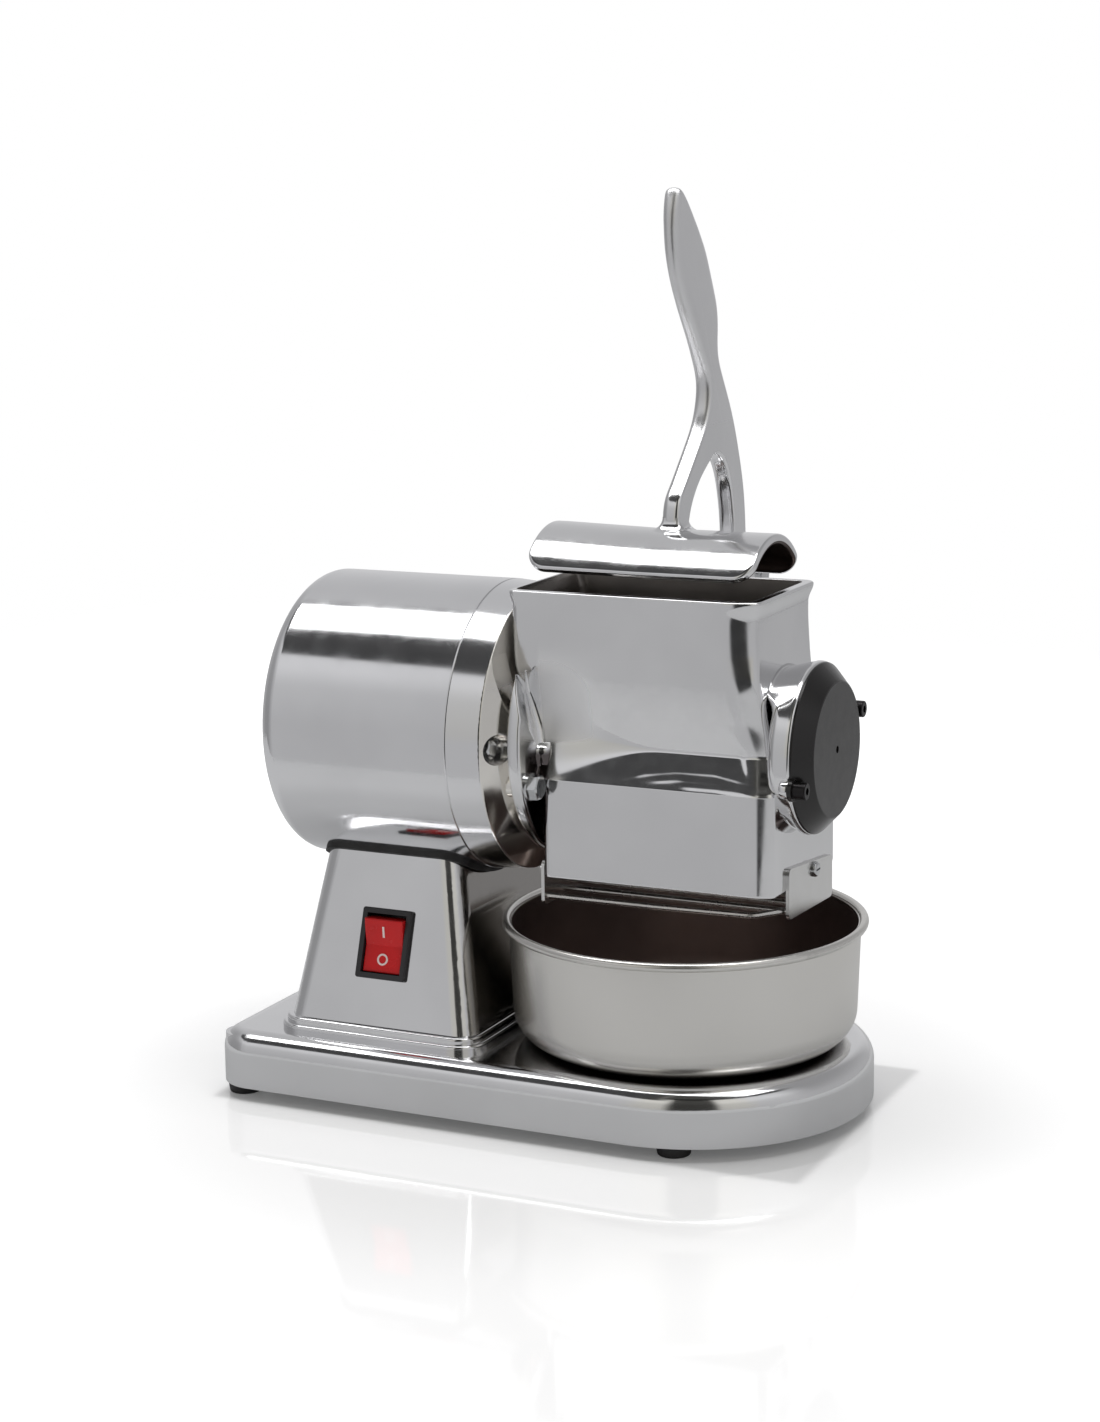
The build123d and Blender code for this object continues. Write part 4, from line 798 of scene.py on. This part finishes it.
# two ears for the hinge pin
for ex in (-5.5 - 5.5 - 1.1 - 8.0, -5.5 + 5.5 + 1.1):
    prof = [(33.4, 188.5), (48.0, 199.4), (62.0, 209.8)]
    prof += [(69.0 + 10.0 * math.cos(math.radians(a)), 225.0 + 10.0 * math.sin(math.radians(a))) for a in range(-60, 106, 6)]
    prof += [(48.0, 229.0), (33.4, 224.9)]
    c = np.array(prof)
    f2, b2 = np.roll(c, -1, axis=0) - c, c - np.roll(c, 1, axis=0)
    tg = f2 / np.linalg.norm(f2, axis=1)[:, None] + b2 / np.linalg.norm(b2, axis=1)[:, None]
    tg /= np.linalg.norm(tg, axis=1)[:, None]
    ins = np.stack([-tg[:, 1], tg[:, 0]], axis=1)
    rows = []
    for xx, d in [(ex, 1.0), (ex + 0.12, 0.5), (ex + 0.5, 0.12), (ex + 1.0, 0.0), (ex + 7.0, 0.0), (ex + 7.5, 0.12), (ex + 7.88, 0.5), (ex + 8.0, 1.0)]:
        q = c + ins * d
        rows.append([(xx, q[i, 0], q[i, 1]) for i in range(len(c))])
    ids = hopper.rows(rows, closed=True)
    hopper.cap(ids[0])
    hopper.cap(ids[-1], flip=True)
hopper_metal(hopper.object("hopper_polished", "polished_aluminium", "housing", ("hopper_casting",), RAW))


# ------------------------------------------------------------------------- camera
AZ, EL, ROLL = 0.4466596, 0.1948501, -0.0140502
TARGET, DIST = Vector((-63.681 + SHIFT, 0.0, 170.193)) / 1000.0, 1.23010
back = Vector((math.sin(AZ) * math.cos(EL), -math.cos(AZ) * math.cos(EL), math.sin(EL)))
right = Vector((math.cos(AZ), math.sin(AZ), 0.0))
up = back.cross(right)
cr = math.cos(ROLL) * right + math.sin(ROLL) * up
cu = -math.sin(ROLL) * right + math.cos(ROLL) * up
cam_data = bpy.data.cameras.new("camera")
cam_data.sensor_fit = "VERTICAL"
cam_data.sensor_height = 36.0
cam_data.lens = 36.0 * 2800.0 / 1422.0
cam_data.clip_start = 0.01
cam_data.clip_end = 50.0
cam = bpy.data.objects.new("camera", cam_data)
eye = TARGET + back * DIST
cam.matrix_world = Matrix(((cr.x, cu.x, back.x, eye.x), (cr.y, cu.y, back.y, eye.y), (cr.z, cu.z, back.z, eye.z), (0, 0, 0, 1)))
bpy.context.scene.collection.objects.link(cam)
bpy.context.scene.camera = cam
bpy.context.scene.view_settings.view_transform = "Standard"
bpy.context.scene.cycles.max_bounces = 16
bpy.context.scene.cycles.glossy_bounces = 12

# -------------------------------------------------------------------------- floor
fm = bmesh.new()
bmesh.ops.create_grid(fm, x_segments=40, y_segments=40, size=3.0)
floor_mesh = bpy.data.meshes.new("floor")
fm.to_mesh(floor_mesh)
fm.free()
floor = bpy.data.objects.new("floor", floor_mesh)
bpy.context.scene.collection.objects.link(floor)
m = bpy.data.materials.new("floor")
m.use_nodes = True
m.node_tree.nodes.clear()
g = Graph(m.node_tree)
out = g.n("ShaderNodeOutputMaterial")
tc = g.n("ShaderNodeTexCoord").outputs["Object"]
sep = g.n("ShaderNodeSeparateXYZ")
g.put(tc, sep.inputs[0])
fx, fy = sep.outputs[0], sep.outputs[1]
path = g.n("ShaderNodeLightPath")
seen = g.n("ShaderNodeBsdfDiffuse")
seen.inputs["Color"].default_value = rgb(0.93, 0.93, 0.93)
dim = g.n("ShaderNodeBsdfDiffuse")
gloss = g.n("ShaderNodeBsdfGlossy")
gloss.inputs["Color"].default_value = rgb(1, 1, 1)
gloss.inputs["Roughness"].default_value = 0.05
far = g.math("SQRT", g.math("ADD", g.math("MULTIPLY", fx, fx), g.math("MULTIPLY", fy, fy)))
lift = g.n("ShaderNodeEmission")
ox = g.math("MAXIMUM", g.math("SUBTRACT", g.math("ABSOLUTE", fx), 0.136), 0.0)
oy = g.math("MAXIMUM", g.math("SUBTRACT", g.math("ABSOLUTE", fy), 0.0755), 0.0)
away = g.math("SQRT", g.math("ADD", g.math("MULTIPLY", ox, ox), g.math("MULTIPLY", oy, oy)))
# painted shade: the floor as seen in reflections is grey, darker close to the base
g.put(g.mix(g.ramp(away, 0.05, 0.13), rgb(0.66, 0.665, 0.67), rgb(0.77, 0.775, 0.78)), dim.inputs["Color"])
# painted shadow: the floor's glow is weakest at the base, deepening its contact shadow, and rises further out so the
# floor turns evenly white
glow = g.math("ADD", g.ramp(away, 0.0, 0.006, 0.12, 0.40), g.math("ADD", g.ramp(far, 0.15, 0.26, 0.0, 0.17), g.ramp(far, 0.30, 0.60, 0.0, 0.36)))
g.put(glow, lift.inputs["Strength"])
lit = g.n("ShaderNodeAddShader")
g.put(seen.outputs[0], lit.inputs[0])
g.put(lift.outputs[0], lit.inputs[1])
body = g.n("ShaderNodeMixShader")
body.inputs[0].default_value = 0.20
g.put(lit.outputs[0], body.inputs[1])
g.put(gloss.outputs[0], body.inputs[2])
pick = g.n("ShaderNodeMixShader")
g.put(path.outputs["Is Glossy Ray"], pick.inputs[0])
g.put(body.outputs[0], pick.inputs[1])
g.put(dim.outputs[0], pick.inputs[2])
# the table runs out softly: nearer to the front, further to the sides and the back
ax = g.ramp(g.math("ABSOLUTE", fx), 0.75, 1.0, 1.0, 0.0)
near = g.ramp(fy, -0.62, -0.56, 0.0, 1.0)
mirrored = g.ramp(g.math("ADD", fy, g.math("MULTIPLY", g.math("MAXIMUM", g.math("SUBTRACT", fx, 0.02), 0.0), 0.8)), -0.305, -0.285, 0.0, 1.0)
near = g.math("ADD", g.math("MULTIPLY", near, g.math("SUBTRACT", 1.0, path.outputs["Is Glossy Ray"])), g.math("MULTIPLY", mirrored, path.outputs["Is Glossy Ray"]))
ay = g.math("MULTIPLY", near, g.ramp(fy, 0.8, 1.2, 1.0, 0.0))
cover = g.math("MULTIPLY", ax, ay)
clear = g.n("ShaderNodeBsdfTransparent")
fade = g.n("ShaderNodeMixShader")
g.put(cover, fade.inputs[0])
g.put(clear.outputs[0], fade.inputs[1])
g.put(pick.outputs[0], fade.inputs[2])
g.put(fade.outputs[0], out.inputs["Surface"])
floor.data.materials.append(m)

# -------------------------------------------------------------- studio surroundings
world = bpy.data.worlds.new("studio")
bpy.context.scene.world = world
world.use_nodes = True
world.node_tree.nodes.clear()
g = Graph(world.node_tree)
out = g.n("ShaderNodeOutputWorld")
tc = g.n("ShaderNodeTexCoord").outputs["Generated"]
sep = g.n("ShaderNodeSeparateXYZ")
g.put(tc, sep.inputs[0])
dx, dy, dz = sep.outputs
hor = g.math("SQRT", g.math("ADD", g.math("MULTIPLY", dx, dx), g.math("ADD", g.math("MULTIPLY", dy, dy), 1e-6)))
# front half of the room: grey, a little brighter towards the ceiling edge
front = g.math("ADD", g.ramp(dz, 0.0, 0.40, 0.455, 0.51, False), g.ramp(dz, 0.38, 0.64, 0.0, 0.16))
rear = g.math("SUBTRACT", g.ramp(dz, 0.10, 0.75, 0.62, 0.50), g.ramp(dx, -0.15, 0.20, 0.0, 0.20))
half = g.ramp(dy, -0.15, 0.35)
level = g.math("ADD", g.math("MULTIPLY", front, g.math("SUBTRACT", 1.0, half)), g.math("MULTIPLY", rear, half))
# dark ceiling round the overhead light, in front
ceil = g.math("MULTIPLY", g.ramp(dz, 0.688, 0.712), g.ramp(dx, -0.10, 0.10, 1.0, 0.0))
ceil = g.math("MAXIMUM", ceil, g.math("MULTIPLY", g.ramp(dz, 0.78, 0.80), g.ramp(dx, -0.16, 0.0)))
ceil = g.math("MULTIPLY", ceil, g.ramp(dy, 0.10, 0.34, 1.0, 0.0))
level = g.math("MULTIPLY", level, g.math("SUBTRACT", 1.0, g.math("MULTIPLY", ceil, 0.92)))
# dark column where the camera stands
aim = g.math("DIVIDE", g.math("ADD", g.math("MULTIPLY", dx, 0.3690), g.math("MULTIPLY", dy, -0.9294)), hor)
col = g.math("MULTIPLY", g.ramp(aim, 0.945, 0.975), g.ramp(dz, 0.82, 0.87, 1.0, 0.0))
level = g.math("MULTIPLY", level, g.math("SUBTRACT", 1.0, g.math("MULTIPLY", col, 0.92)))
# darker to the far left, a warm wall on both sides of the camera
level = g.math("MULTIPLY", level, g.ramp(dx, -0.85, -0.55, 0.62, 1.0))
warm = g.math("MULTIPLY", g.ramp(aim, 0.70, 0.86), g.ramp(dz, -0.12, 0.0))
tint = g.n("ShaderNodeCombineColor")
g.put(g.math("MULTIPLY", level, g.ramp(warm, 0.0, 1.0, 1.0, 1.04, False)), tint.inputs[0])
g.put(g.math("MULTIPLY", level, g.ramp(warm, 0.0, 1.0, 1.0, 1.02, False)), tint.inputs[1])
g.put(g.math("MULTIPLY", level, g.ramp(warm, 0.0, 1.0, 1.015, 0.95, False)), tint.inputs[2])
room = g.n("ShaderNodeBackground")
g.put(tint.outputs[0], room.inputs["Color"])
plain = g.n("ShaderNodeBackground")
plain.inputs["Color"].default_value = rgb(1.0, 1.0, 1.0)
path = g.n("ShaderNodeLightPath")
sel = g.n("ShaderNodeMixShader")
g.put(path.outputs["Is Camera Ray"], sel.inputs[0])
g.put(room.outputs[0], sel.inputs[1])
g.put(plain.outputs[0], sel.inputs[2])
g.put(sel.outputs[0], out.inputs["Surface"])


def softbox(name, pos, aim, size, power, tint=(1, 1, 1)):
    d = bpy.data.lights.new(name, "AREA")
    d.shape = "RECTANGLE"
    d.size, d.size_y = size
    d.energy = power
    d.color = tint
    o = bpy.data.objects.new(name, d)
    o.location = pos
    o.rotation_euler = (Vector(aim) - Vector(pos)).to_track_quat("-Z", "Y").to_euler()
    bpy.context.scene.collection.objects.link(o)
    return o


softbox("overhead", (-0.10, -0.02, 1.40), (-0.10, -0.02, 0.0), (1.9, 0.54), 10.2)
